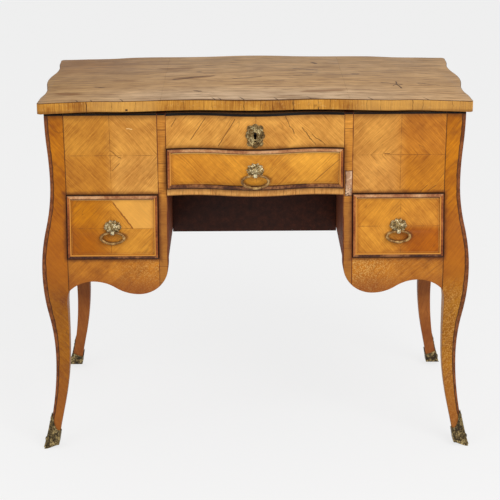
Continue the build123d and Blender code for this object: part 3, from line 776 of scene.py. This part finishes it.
edgeLook = {"grain": 90, "streaks": 420, "length": 16, "specks": 0.15, "tones": ((186, 127, 52),)}
looks["topEdge"] = veneerLook(
    "top edge crossbanding", edgeFinish, cracks=0.35, stain=0.4, streaky=0.85, broad=0.95, seed=13, **edgeLook)
looks["topEdgeSide"] = veneerLook(
    "top end crossbanding", edgeFinish, face="side", cracks=0.45, stain=0.3, seed=14, **edgeLook)


topFacts = {
    # the middle, left end and front carry a painted reflection of the varnish; the left end is painted in shade and the
    # front paler with painted sheen
    "leftEndInShade": (173, 131, 80),
    "middle": (191, 149, 100),
    "front": (202, 171, 137),
    "backLeft": (150, 98, 44),
    "streak": (126, 80, 36),
    "deepening": (1.5, 1.7, 1.9),
    "cracks": (
        (-0.1745, -0.0282, -0.132, -0.012, 0.0046), (-0.142, -0.006, -0.0868, 0.0085, 0.0032),
        (0.2703, -0.0645, 0.3017, -0.0796, 0.0032), (0.3017, -0.0796, 0.3091, -0.1258, 0.0026),
        (0.3017, -0.0796, 0.3124, -0.0832, 0.004), (0.3017, -0.0796, 0.3034, -0.0524, 0.0022),
        (0.2928, -0.0977, 0.3017, -0.0796, 0.0022), (0.0875, 0.0844, 0.1423, 0.0709, 0.0036),
        (-0.1239, -0.1533, -0.114, -0.1587, 0.006), (-0.0475, -0.0265, 0.0173, -0.007, 0.0032),
        (0.2147, 0.0279, 0.2278, 0.0275, 0.005), (-0.3371, -0.0889, -0.3172, -0.1002, 0.0044),
        (0.133, 0.1618, 0.1415, 0.1492, 0.005), (-0.123, 0.0556, -0.118, 0.0556, 0.0055),
        (0.085, 0.0079, 0.1265, 0.0123, 0.003), (0.1054, 0.0301, 0.1412, 0.0463, 0.0026),
        (0.347, -0.0668, 0.3938, -0.0845, 0.0026), (0.0188, -0.057, 0.066, -0.0474, 0.0024)),
    "smears": (
        (0.1083, -0.1653, 0.1775, -0.1517, 0.017), (-0.4046, -0.1502, -0.3723, -0.1615, 0.017),
        (-0.3, -0.03, -0.26, -0.034, 0.013), (-0.205, 0.1, -0.14, 0.096, 0.012),
        (-0.17, -0.025, -0.095, 0.006, 0.016)),
}


def topFinish(coat):
    # the top has a figure of its own in place of the veneer's colour; its greyish tones carry a painted reflection of
    # the varnish, paler towards the front middle with painted sheen, and its left end is painted in shade
    x, y = coat.x, coat.y
    # painted shade: the left end darker than the middle
    coat.colour = mixTones(fade(x, -0.44, -0.16), topFacts["leftEndInShade"], topFacts["middle"])
    coat.tint(fade(y, -0.04, 0.2, 0, 0.65) * fadeOut(x, -0.4, -0.1), topFacts["backLeft"])
    # painted sheen: paler towards the front middle, as the varnish reflects the light
    coat.tint(fadeOut(y, -0.22, -0.06, 0.85) * fade(abs(x), 0.12, 0.4, 1, 0.25), topFacts["front"])

    def waves(along, over, shift, detail=3):
        return noise(combine(x * along, y * over, shift), 1, detail, 0.6, 0.35)

    broad = noise(combine(x, y * 2.2, 4), 9, 3, 0.6)
    streak, fine = waves(9, 92, 2), waves(34, 330, 6, 2)
    coat.deepen(swing(0, (broad, 0.62), (streak, 0.85), (fine, 0.66)), topFacts["deepening"])
    coat.tint(fade(waves(9, 74, 11), 0.55, 0.7, 0, 0.55), topFacts["streak"])
    coat.tint(fade(waves(15, 120, 15, 2), 0.61, 0.68, 0, 0.65), (104, 66, 32))
    strokes(coat, topFacts["smears"], (124, 76, 28), 0.6, "xy")
    strokes(coat, topFacts["cracks"], (60, 32, 12), 0.9, "xy")
    # short splits that run in from the front edge
    near = nearest(x + (y * 0.35 + 0.083), edgeFacts["nicks"])
    inward = y + noise(coat.place, 30, 1) * 0.03
    coat.tint(fadeOut(near, 0.0006, 0.0018) * fadeOut(inward, -0.222, -0.198, 0.9), (48, 26, 16))


topLook = {"face": "top", "grain": 2, "streaks": 110, "length": 6}
looks["lidTop"] = veneerLook("lid veneer", topFinish, seed=20, **topLook)
looks["leftFlapTop"] = veneerLook("left flap veneer", topFinish, seed=21, **topLook)
looks["rightFlapTop"] = veneerLook("right flap veneer", topFinish, seed=22, **topLook)
looks["topArris"] = veneerLook("worn arris", face="top", grain=80, streaks=260, length=30, tones=((78, 46, 24),),
                               seed=23)
print("top veneers made")


beadTones = {
    # places on the ramp and the tone at each; top is the painted lit run, low the painted shaded run, and edge the
    # painted shadow line at the bead's edges
    "side": ((0.3, 0.5, 0.7), ((110, 52, 18), (148, 78, 30), (178, 108, 52))),
    "top": ((0.3, 0.5, 0.7), ((150, 92, 56), (186, 130, 84), (214, 164, 118))),
    "low": ((0.35, 0.5, 0.68), ((62, 30, 16), (92, 50, 26), (150, 98, 56))),
    "field": (206, 138, 54),
    "edge": (44, 16, 6),
}


def beadLook(drawer=None):
    coat = Coat("cockbead mahogany " + drawer if drawer else "mahogany moulding")
    fleck = noise(coat.place, 240, 3, 0.6)
    broad = noise(coat.place, 30, 2)
    mottle = swing(0.5, (broad, 0.9), (fleck, 0.6))
    coat.colour = ramp(mottle, *beadTones["side"])
    if drawer:
        # painted light and shade: the top run is painted lit, the sides duller and the bottom in near-black painted
        # shade
        centre, half = frontBox(drawer + "_cockbead")
        fromSide = half[0] - abs(coat.x - centre[0])
        fromTop = centre[1] + half[1] - coat.z
        fromLow = coat.z - (centre[1] - half[1])
        onTop = calc("LESS_THAN", fromTop, fromSide)
        onLow = calc("LESS_THAN", fromLow, lowest(fromTop, fromSide))
        coat.tint(onTop, ramp(mottle, *beadTones["top"]))
        coat.tint(onLow, ramp(mottle, *beadTones["low"]))
        edge = lowest(fromSide, lowest(fromTop, fromLow))
        # the centre drawer's lower run is bowed, so only its sides can be told from the straight edges
        onField = 1 - (highest(onTop, onLow) if drawer == "centre_drawer" else onTop)
        coat.tint(fade(edge, 0.0054, 0.0062) * onField, beadTones["field"])
        # painted shadow: near-black in the gap round the bead and along the inner edge of its top run
        inner = fade(edge, 0.0064, 0.0074, 0, 0.8) * onTop
        coat.tint(highest(fadeOut(edge, 0.0008, 0.0016, 0.9), inner), beadTones["edge"])
    return coat.finish(broad * 0.25 + 0.3, (fleck, 0.12, 0.0004), specular=0.2, varnish=(0.12, 0.25))


def boardLook(name, tones, axis="y", roughness=0.62):
    # plain solid wood with its grain along one axis
    coat = Coat(name)
    grainPlace = combine(*[getattr(coat, part) * (5 if part == axis else 70) for part in "xyz"])
    grain = noise(grainPlace, 1, 5, 0.62)
    fine = noise(grainPlace, 7, 2)
    broad = noise(coat.place, 6, 3)
    coat.colour = ramp(fine * 0.3 + (broad * 0.2 + grain * 0.6), (0.4, 0.55, 0.7), tones)
    return coat.finish(broad * 0.2 + (roughness - 0.1), (grain, 0.25, 0.0005), specular=0.2)


def brassLook():
    coat = Coat("aged brass")
    broad = noise(coat.place, 90, 3, 0.6)
    fine = noise(coat.place, 700, 2)
    recess = fadeOut(coat.read("ShaderNodeNewGeometry", "Pointiness"), 0.44, 0.53)
    coat.colour = ramp(fine * 0.3 + broad * 0.7, (0.32, 0.5, 0.68), ((120, 98, 58), (176, 148, 94), (222, 198, 146)))
    coat.tint(recess * 0.85, (52, 36, 20))
    return coat.finish(broad * 0.25 + 0.26, (fine + broad, 0.25, 0.0005), recess * -0.6 + 0.9)


bronzeFacts = {
    # dark, middle and light tones, the dirt in the hollows, and how metallic it is where clean
    "mounts": ((112, 86, 44), (172, 144, 92), (240, 226, 184), (34, 24, 10), 0.65),
    "cartouche": ((92, 68, 34), (142, 112, 64), (222, 202, 150), (32, 22, 10), 0.65),
    "rings": ((84, 52, 22), (138, 94, 48), (208, 170, 108), (44, 26, 10), 0.6),
    "shoes": ((46, 36, 18), (88, 70, 40), (190, 166, 112), (24, 18, 10), 0.5),
    "lumps": 330,       # grooves of the chasing to the metre
    "keyhole": ((0, 0.6844), (0.0026, 0.0068)),
    "keyholeShade": (6, 4, 2),
}


def bronzeLook(kind, lumpy=0.8, keyhole=False):
    # cast and chased: pale ridges, partly wear and partly painted highlight, and dark dirt in the hollows
    dark, middle, light, dirtTone, metal = bronzeFacts[kind]
    coat = Coat("bronze of the " + kind)
    broad = noise(coat.place, 120, 3, 0.6)
    fine = noise(coat.place, 800, 2)
    hollows = coat.read("ShaderNodeNewGeometry", "Pointiness")
    groove = fadeOut(noise(coat.place, bronzeFacts["lumps"], 2), 0.38, 0.53) * lumpy
    dirt = highest(fadeOut(hollows, 0.42, 0.505), groove)
    coat.colour = ramp(swing(0.5, (broad, 1), (fine, 0.5)), (0.34, 0.5, 0.66), (dark, middle, light))
    # pale on the ridges: wear with a painted highlight
    coat.tint(fade(hollows, 0.53, 0.6) * 0.7, light)
    coat.tint(dirt * 0.88, dirtTone)
    if keyhole:
        # painted shade: the keyhole's dark opening is painted on the plate
        hole = fadeOut(reachFrom(coat.x, coat.z, *bronzeFacts["keyhole"]), -0.0004, 0.0004)
        dirt = highest(dirt, hole)
        coat.tint(hole, bronzeFacts["keyholeShade"])
    rough = dirt * 0.3 + (broad * 0.2 + 0.3)
    return coat.finish(rough, (broad - groove, 0.5, 0.0006), dirt * (-0.8 * metal) + metal, 0.3)


def ironLook():
    coat = Coat("lock iron")
    rust = noise(coat.place, 140, 4, 0.6)
    coat.colour = ramp(rust, (0.4, 0.55, 0.68), ((58, 52, 48), (92, 84, 76), (112, 74, 48)))
    return coat.finish(rust * 0.4 + 0.28, (rust, 0.3, 0.0004), fade(rust, 0.5, 0.66, 0.85, 0.25))


def mirrorLook():
    coat = Coat("old mirror plate")
    foxing = fade(noise(coat.place, 70, 4, 0.65), 0.6, 0.7)
    coat.colour = mixTones(foxing, (226, 230, 228), (96, 92, 84))
    return coat.finish(foxing * 0.35 + 0.04, metallic=foxing * -0.6 + 1)


looks["moulding"] = beadLook()
for drawer in drawers:
    looks[drawer + "Bead"] = beadLook(drawer)
looks["oak"] = boardLook("oak carcass", ((112, 78, 46), (150, 112, 70), (178, 140, 94)))
looks["oakAcross"] = boardLook("oak boards across", ((108, 74, 44), (146, 108, 68), (172, 134, 90)), "x")
looks["backBoards"] = boardLook("back boards", ((84, 56, 34), (122, 86, 54), (148, 110, 72)), "x", 0.7)
# painted shade: the kneehole's back and ceiling are near-black for the shade deep in the recess
looks["kneeholeShadeBoard"] = boardLook("dark stained board", ((38, 14, 6), (56, 24, 12), (78, 36, 20)), roughness=0.6)
looks["wallBoard"] = boardLook("kneehole wall board", ((84, 40, 20), (116, 58, 30), (146, 82, 46)), "z", 0.7)
looks["wellPaper"] = boardLook("stained well lining", ((62, 30, 22), (88, 46, 32), (112, 62, 44)), "x", 0.6)
looks["brass"] = brassLook()
looks["mountBronze"] = bronzeLook("mounts")
looks["escutcheonBronze"] = bronzeLook("cartouche", 0.6, keyhole=True)
looks["ringBronze"] = bronzeLook("rings", 0.25)
looks["shoeBronze"] = bronzeLook("shoes", 0.85)
looks["iron"] = ironLook()
looks["mirror"] = mirrorLook()
print("boards and metals made")


def frontOrDark(face):
    return 0 if face.center.y < caseSize["frontInner"] + 0.001 and face.normal.y < -0.4 else 1


def frontOrOak(face):
    return 0 if face.normal.y < -0.4 else 1


def topFaces(face):
    # upper face, front and back edges, ends, underside or arris
    if face.normal.z > 0.94:
        return 0
    if face.normal.z > 0.25:
        return 4
    if face.normal.z < -0.7:
        return 3
    return 1 if abs(face.normal.y) > abs(face.normal.x) else 2


def addCornerDistance(piece, tuck):
    # how far each point of a post is from its outer corner, for the banding
    values = piece.data.attributes.new("cornerDistance", "FLOAT", "POINT")
    for index, point in enumerate(piece.data.vertices):
        values.data[index].value = fromCorner(point.co, tuck)


legTuck = {"front": 0, "back": swell["backTuck"]}
topLooks = ("topEdge", "topEdgeSide", "wellPaper", "topArris")
topCut = {"facePick": topFaces, "edge": 0.0011, "joint": caseSize["lidEdge"]}
for side in sides:
    dressed("front_panel_" + side, "case", (side + "Panel", "oakAcross"), frontOrOak)
    dressed("apron_" + side, "case", ("apron", "oakAcross"), frontOrOak)
    dressed("partition_" + side, "case", ("stile", "wallBoard"), frontOrDark)
    dressed("side_panel_" + side, "case", ("sidePanel",))
    dressed(side + "_drawer_front", side + "_drawer", (side + "Drawer", "oakAcross"), frontOrOak)
    for end, tuck in legTuck.items():
        post = dressed("leg_" + end + "_" + side, "case", (end + "Leg",), edge=0.0012, steps=3, soleTuck=tuck)
        addCornerDistance(post, tuck)
dressed("frieze", "case", ("frieze", "oakAcross"), frontOrOak)
dressed("drawer_rail", "case", ("rail", "oakAcross"), frontOrOak)
dressed("centre_drawer_front", "centre_drawer", ("centreDrawer", "oakAcross"), frontOrOak)
for drawer in drawers:
    dressed(drawer + "_cockbead", drawer, (drawer + "Bead",), slotName="purplewood_bead", edge=0.003, steps=3)
dressed("lid_board", "centre_lid", ("lidTop",) + topLooks, **topCut)
for side in sides:
    dressed("flap_" + side, side + "_flap", (side + "FlapTop",) + topLooks, **topCut)
dressed("back_panel", "case", ("backBoards",), slotName="oak_carcass")
dressed("mirror_frame", "centre_lid", ("moulding",), slotName="purplewood_bead", edge=0.001)
# the kneehole's back and ceiling, in painted near-black shade
for node in ("kneehole_back", "kneehole_ceiling"):
    dressed(node, "case", ("kneeholeShadeBoard",), slotName="dark_stained_board")
print("show wood dressed")


plainPieces = {
    # the look of each plain node, and its slot
    ("wellPaper", "oak_carcass"): ("well_floor_left", "well_floor_right", "well_floor_centre"),
    ("oak", "oak_carcass"): ("pedestal_floor_left", "pedestal_floor_right", "left_drawer_carcass",
                             "right_drawer_carcass", "centre_drawer_carcass", "drawer_runners"),
    ("oakAcross", "oak_carcass"): ("left_drawer_bottom", "right_drawer_bottom", "centre_drawer_bottom", "lid_rail"),
    ("brass", "aged_brass"): ("flap_left_hinge_leaves", "flap_right_hinge_leaves", "lid_hinge_case_leaves",
                              "flap_hinge_case_leaves", "lid_hinge_leaves"),
    ("iron", "lock_iron"): ("lock_case", "lock_bolt", "lock_strike"),
    ("mirror", "mirror_plate"): ("mirror_glass",),
}
for (look, slotName), names in plainPieces.items():
    for name in names:
        nodes[name].data.materials.clear()
        nodes[name].data.materials.append(looks[look])
print("plain pieces finished")


def mounted(piece, node, body, look, angle):
    smoothPiece(piece, angle)
    standFor(piece, node, body, (look,))


def addBlob(place, size, turn=0, tilt=0):
    bpy.ops.mesh.primitive_uv_sphere_add(segments=16, ring_count=10, radius=1, location=place, scale=size,
                                         rotation=(0, tilt, turn))
    blob = newest()
    bakePlace(blob)
    return blob


def addTube(points, thickness, closed=False):
    # a smooth rod as a mesh; each point has its place and its share of the thickness
    bpy.ops.curve.primitive_bezier_curve_add()
    rod = newest()
    spline = rod.data.splines[0]
    spline.bezier_points.add(len(points) - 2)
    for knot, (across, along, up, share) in zip(spline.bezier_points, points):
        knot.co = (across, along, up)
        knot.handle_left_type = knot.handle_right_type = "AUTO"
        knot.radius = share
    spline.use_cyclic_u = closed
    rod.data.dimensions = "3D"
    rod.data.resolution_u = 10
    rod.data.bevel_depth = thickness
    rod.data.bevel_resolution = 3
    rod.data.use_fill_caps = not closed
    selectOnly(rod)
    bpy.ops.object.convert(target="MESH")
    rod = newest()
    bakePlace(rod)
    return rod


def remeshed(piece, grid):
    applyModifier(piece, "REMESH", mode="VOXEL", voxel_size=grid, use_smooth_shade=True)
    applyModifier(piece, "SMOOTH", factor=0.5, iterations=1)
    return piece


rosetteShape = {
    # each ring of leaves: how many, half sizes, reach from the middle, height, share of a step round
    "rings": ((12, (0.0046, 0.0032, 0.0026), (0.0134, 0.0108), 0.0022, 0.5),
              (8, (0.0048, 0.0028, 0.0026), (0.0078, 0.0062), 0.0046, 0),
              (5, (0.0034, 0.0021, 0.002), (0.0036, 0.003), 0.0064, 0.5)),
    "tilt": 0.3,
    "base": (0.0166, 0.0137, 0.0052),
    "baseHeight": 0.001,
    "boss": (0.0019, 0.0018, 0.0016),
    "bossHeight": 0.0076,
    "grid": 0.00042,
    "proud": 0.0032,        # of the drawer front, over the plate
}


def seatOnFront(piece, drawer, place):
    # the bowed fronts turn away, so a mount is turned to the face it sits on
    front = bpy.data.objects[drawer + "_front"]
    corners = [front.matrix_world @ point.co for point in front.data.vertices]
    tree = BVHTree.FromPolygons(corners, [tuple(face.vertices) for face in front.data.polygons])
    spot, normal = tree.find_nearest(Vector(place))[:2]
    if normal.y > 0:
        normal = -normal
    facing = normal.to_track_quat("Z", "Y").to_matrix().to_4x4()
    piece.matrix_world = Matrix.Translation(spot + normal * rosetteShape["proud"]) @ facing
    bakePlace(piece)
    print(drawer, "mount faces", [round(part, 2) for part in normal])


def makeRosette(drawer, centre):
    shape = rosetteShape
    parts = []
    for count, spread, reach, height, start in shape["rings"]:
        for number in range(count):
            angle = 2 * math.pi * (number + start) / count + math.pi / 2
            place = (reach[0] * math.cos(angle), reach[1] * math.sin(angle), height)
            parts.append(addBlob(place, spread, angle, shape["tilt"]))
    parts.append(addBlob((0, 0, shape["bossHeight"]), shape["boss"]))
    parts.append(addBlob((0, 0, shape["baseHeight"]), shape["base"]))
    dome = remeshed(joined(parts, drawer + ".rosetteLeaves"), shape["grid"])
    seatOnFront(dome, drawer, centre)
    whole = joined([cleanCopy(drawer + "_rosette", drawer + ".rosette"), dome], drawer + ".rosette")
    mounted(whole, drawer + "_rosette", drawer, "mountBronze", 42)


ringShape = {
    # across, down, thickness: half of the bow from the eye to its lowest point
    "half": ((0, 0, 1), (0.006, 0, 1), (0.0155, -0.0016, 1.05), (0.0238, -0.0058, 1.2),
             (0.0271, -0.0128, 1.4), (0.0232, -0.019, 1.35), (0.013, -0.0238, 1.15), (0, -0.0262, 1.3)),
    "eye": 0.0061,          # the part in the eye keeps its width at every size
    "wire": 0.0023,
}


def makeRing(drawer, ringBody, axis, size):
    half = ringShape["half"]
    points = []
    for across, down, thick in half + tuple((-a, d, t) for a, d, t in reversed(half[1:-1])):
        if abs(across) > ringShape["eye"]:
            across *= size
        points.append((axis[0] + across, axis[1], axis[2] + down * size, thick))
    bow = addTube(points, ringShape["wire"], closed=True)
    bow.name = drawer + ".ring"
    mounted(bow, drawer + "_ring", ringBody, "ringBronze", 60)


makeRosette("centre_drawer", (0, -0.2415, 0.61255))
makeRing("centre_drawer", "centre_ring", (0, -0.251488, 0.60255), 1)
for side, sign in (("left", -1), ("right", 1)):
    makeRosette(side + "_drawer", (sign * 0.29675, -0.2345, 0.4906))
    makeRing(side + "_drawer", side + "_ring", (sign * 0.29675, -0.245933, 0.4806), 0.88)
print("pulls made")


escutcheonShape = {
    "centre": (0, -0.2415, 0.6844),
    "grid": 0.0004,
    # thickness, then across, up, out and share of the thickness of each point, down one side
    "scrolls": ((0.0015, ((0.0048, 0.0165, 0.003, 1.5), (0.0098, 0.0155, 0.0036, 1.1), (0.015, 0.0105, 0.0038, 1.2),
                          (0.0168, 0.0035, 0.0034, 0.9), (0.0146, -0.004, 0.0036, 1.3), (0.0118, -0.01, 0.0038, 1),
                          (0.0082, -0.0155, 0.0034, 1.2), (0.004, -0.0185, 0.003, 1.5))),
                (0.0012, ((0.0052, 0.0095, 0.003, 1.3), (0.0086, 0.006, 0.0034, 1), (0.0092, -0.001, 0.0034, 1.1),
                          (0.0066, -0.007, 0.0034, 0.9), (0.0044, -0.011, 0.003, 1.2)))),
    # across, up and turn of each leaf laid over the scrolls
    "leaves": ((0.0125, 0.0125, 0.9), (0.013, 0.0065, 0.4), (0.0124, 0, 0), (0.0108, -0.006, -0.4),
               (0.0078, -0.0115, -0.7), (0.0172, 0.0065, 1.3), (0.0172, -0.001, 1.7)),
    "leafSize": (0.0027, 0.0014, 0.0016),
    "leafHeight": 0.003,
    "fanReach": 0.007,
    "fanStep": math.radians(24),
    "fanLeaf": (0.0013, 0.004, 0.0018),
    "fanHeart": (0.0034, 0.0026, 0.002),
    "collar": (0.75, 1.45, 1),
}


def makeEscutcheon():
    # C scrolls with leaves down each side, a fan of leaves at the head and foot, and a collar round the keyhole
    shape = escutcheonShape
    plate = cleanCopy("escutcheon", "escutcheonPlate")
    relief = []
    for sign in (-1, 1):
        for thickness, line in shape["scrolls"]:
            relief.append(addTube([(sign * across, up, out, share) for across, up, out, share in line], thickness))
        for across, up, turn in shape["leaves"]:
            relief.append(addBlob((sign * across, up, shape["leafHeight"]), shape["leafSize"], sign * turn))
    for up in (-1, 1):
        for number in range(5):
            angle = (number - 2) * shape["fanStep"]
            place = (shape["fanReach"] * math.sin(angle) * 0.8, up * (0.015 + shape["fanReach"] * math.cos(angle)),
                     shape["leafHeight"])
            relief.append(addBlob(place, shape["fanLeaf"], -up * angle * 0.9))
        relief.append(addBlob((0, up * 0.0148, 0.0036), shape["fanHeart"]))
    bpy.ops.mesh.primitive_torus_add(major_radius=0.006, minor_radius=0.001, major_segments=32, minor_segments=10,
                                     location=(0, 0, 0.0026))
    collar = newest()
    collar.scale = shape["collar"]
    relief.append(collar)
    ornament = joined(relief, "escutcheonRelief")
    bakePlace(ornament)
    # from lying flat to standing on the frieze, facing out
    ornament.matrix_world = Matrix.Translation(shape["centre"]) @ Matrix.Rotation(math.pi / 2, 4, "X")
    bakePlace(ornament)
    whole = remeshed(joined([plate, ornament], "escutcheon.cartouche"), shape["grid"])
    mounted(whole, "escutcheon", "case", "escutcheonBronze", 60)


shoeShape = {
    "heel": 0.024,
    "side": 0.033,
    "leafWidth": 0.026,
    "hollow": 2.4,          # how fast the leaf narrows above the heel
    "wall": 0.002,
    "tip": 0.076,
    # height and share of the thickness along the corner
    "ribPoints": ((0.003, 1.6), (0.018, 1.2), (0.034, 1), (0.052, 1.1), (0.076, 0.5)),
    "rib": 0.0016,
    "veins": 5,
    "veinStep": 0.0095,
    "vein": 0.0011,
    # inward, height, out and share of the thickness
    "framePoints": ((0.0045, 0.03, 0, 1), (0.011, 0.0315, 0, 1.2), (0.018, 0.027, 0, 1.3),
                    (0.0185, 0.016, 0, 0.9), (0.016, 0.006, 0, 1.1), (0.006, 0.005, 0, 1),
                    (0.004, 0.016, 0, 0.9)),
    "frame": 0.0013,
    "lipPoints": ((0.0195, 0.01, -0.0002, 0.8), (0.0215, 0.02, 0, 1.1), (0.0245, 0.03, 0.0004, 0.4)),
    "lip": 0.0017,
    "boss": (0.0036, 0.0036, 0.0058),
}


def narrowLeaf(piece, tuck):
    # the leaf runs out to its tip in a hollow curve, not in a straight line
    heel, side, tip = shoeShape["heel"], shoeShape["side"], shoeShape["tip"]
    editMesh(piece)
    bpy.ops.mesh.subdivide(number_cuts=5)
    leaveEdit()
    for point in piece.data.vertices:
        level = point.co.z
        if level <= heel:
            continue
        share = min(max(fromCorner(point.co, tuck) / shoeShape["leafWidth"], 0), 1)
        straight = tip + (side - tip) * share
        hollow = side + (tip - side) * (1 - share) ** shoeShape["hollow"]
        lower = heel + (level - heel) * (hollow - heel) / (straight - heel)
        point.co.x += math.copysign(swellAt(lower, tuck) - swellAt(level, tuck), point.co.x)
        point.co.y += math.copysign(swellAt(lower) - swellAt(level), point.co.y)
        point.co.z = lower


def makeShoe(end, side):
    # the CAD shoe with a chased leaf up its corner, a framed cup and two turned-out lips
    shape = shoeShape
    node = "sabot_" + end + "_" + side
    tuck = legTuck[end]
    signX = -1 if side == "left" else 1
    signY = -1 if end == "front" else 1

    def spot(face, inward, level, out, share=1):
        outerX, outerY = [reach + shape["wall"] for reach in caseLine(level, tuck)]
        if face == "corner":
            return signX * (outerX + out), signY * (outerY + out), level, share
        if face == "across":
            return signX * (outerX - inward), signY * (outerY + out), level, share
        return signX * (outerX + out), signY * (outerY - inward), level, share

    relief = [addTube([spot("corner", 0, level, -0.0006, share) for level, share in shape["ribPoints"]], shape["rib"])]
    for face in ("across", "along"):
        for number in range(shape["veins"]):
            level = shape["tip"] - 0.008 - number * shape["veinStep"]
            reach = 0.0045 + 0.0024 * number
            relief.append(addTube([spot(face, 0.0005, level, -0.0002, 1),
                                   spot(face, reach * 0.6, level - 0.003, 0.0001, 1.3),
                                   spot(face, reach, level - 0.011, -0.0004, 0.7)], shape["vein"]))
        relief.append(addTube([spot(face, *point) for point in shape["framePoints"]], shape["frame"], closed=True))
        relief.append(addTube([spot(face, *point) for point in shape["lipPoints"]], shape["lip"]))
        relief.append(addBlob(spot(face, 0.0105, 0.017, -0.0002)[:3], shape["boss"]))
    plate = cleanCopy(node, "shoePlate")
    narrowLeaf(plate, tuck)
    whole = joined([plate] + relief, node + ".shoe")
    liftSole(whole, tuck)
    mounted(whole, node, "case", "shoeBronze", 45)


makeEscutcheon()
for end in ("front", "back"):
    for side in sides:
        makeShoe(end, side)
print("mounts made")


studio = {
    "floorTone": (236, 236, 236),
    "floorSeen": (250, 250, 250),
    "floorGlow": 0.8,
    "worldStrength": 0.55,
    "backdrop": (240, 240, 240),
    # place, aim, size and power
    "lamps": {"keyLamp": ((1.6, -2.6, 2.6), (0, 0, 0.5), (2.2, 2.2), 62),
              "fillLamp": ((-2.4, -2.4, 1.8), (0, 0, 0.4), (2.4, 2), 22)},
    "cameraPlace": (-0.0289, -3.4275, 1.4243),
    "cameraTurn": (0.0054, 0.2994, -0.0048),    # yaw, pitch and roll
    "lens": 115.2,
}


def mixShaders(tree, factor, first, second, output):
    mixer = tree.nodes.new("ShaderNodeMixShader")
    for socket, source in zip(mixer.inputs, (factor, first, second)):
        tree.links.new(source, socket)
    tree.links.new(mixer.outputs[0], output.inputs[0])


def makeStage():
    bpy.ops.mesh.primitive_plane_add(size=1, location=(0, 0, 0))
    floor = newest()
    floor.name = "studioFloor"
    floor.scale = (30, 30, 1)
    bakePlace(floor)
    editMesh(floor)
    bpy.ops.mesh.subdivide(number_cuts=3)
    leaveEdit()
    look, tree, shader = newLook("studio floor")
    feedNamed(shader, {"Base Color": studio["floorTone"], "Roughness": 0.9, "Specular IOR Level": 0.1})
    # the camera sees the floor nearly as pale as the backdrop, with the shadow still on it
    rays = tree.nodes.new("ShaderNodeLightPath")
    paper = tree.nodes.new("ShaderNodeEmission")
    feed(paper.inputs[0], studio["floorSeen"])
    seen = highest(Field(rays.outputs["Is Camera Ray"]), Field(rays.outputs["Is Glossy Ray"])) * studio["floorGlow"]
    mixShaders(tree, seen.socket, shader.outputs[0], paper.outputs[0], tree.nodes["Material Output"])
    floor.data.materials.append(look)


def makeWorld():
    world = bpy.data.worlds.new("studioWorld")
    bpy.context.scene.world = world
    world.use_nodes = True
    tree = world.node_tree
    tree.nodes.clear()
    output = tree.nodes.new("ShaderNodeOutputWorld")
    plain = tree.nodes.new("ShaderNodeBackground")
    seen = tree.nodes.new("ShaderNodeBackground")
    feed(plain.inputs[0], (255, 255, 255))
    feed(plain.inputs[1], studio["worldStrength"])
    feed(seen.inputs[0], studio["backdrop"])
    rays = tree.nodes.new("ShaderNodeLightPath")
    mixShaders(tree, rays.outputs["Is Camera Ray"], plain.outputs[0], seen.outputs[0], output)


def addLamp(name, place, aim, size, power):
    bpy.ops.object.light_add(type="AREA", location=place)
    lamp = newest()
    lamp.name = name
    lamp.data.shape = "RECTANGLE"
    lamp.data.size, lamp.data.size_y = size
    lamp.data.energy = power
    lamp.rotation_mode = "QUATERNION"
    lamp.rotation_quaternion = (Vector(aim) - Vector(place)).to_track_quat("-Z", "Y")


def makeCamera():
    data = bpy.data.cameras.new("studioCamera")
    data.lens = studio["lens"]
    data.sensor_width = 36
    camera = bpy.data.objects.new("studioCamera", data)
    bpy.context.scene.collection.objects.link(camera)
    yaw, pitch, roll = studio["cameraTurn"]
    camera.matrix_world = (Matrix.Translation(studio["cameraPlace"]) @ Matrix.Rotation(-yaw, 4, "Z")
                           @ Matrix.Rotation(math.pi / 2 - pitch, 4, "X") @ Matrix.Rotation(roll, 4, "Z"))
    data.clip_end = 60
    bpy.context.scene.camera = camera


makeStage()
makeWorld()
for name, facts in studio["lamps"].items():
    addLamp(name, *facts)
makeCamera()
bpy.context.scene.view_settings.view_transform = "Standard"
print("studio ready")
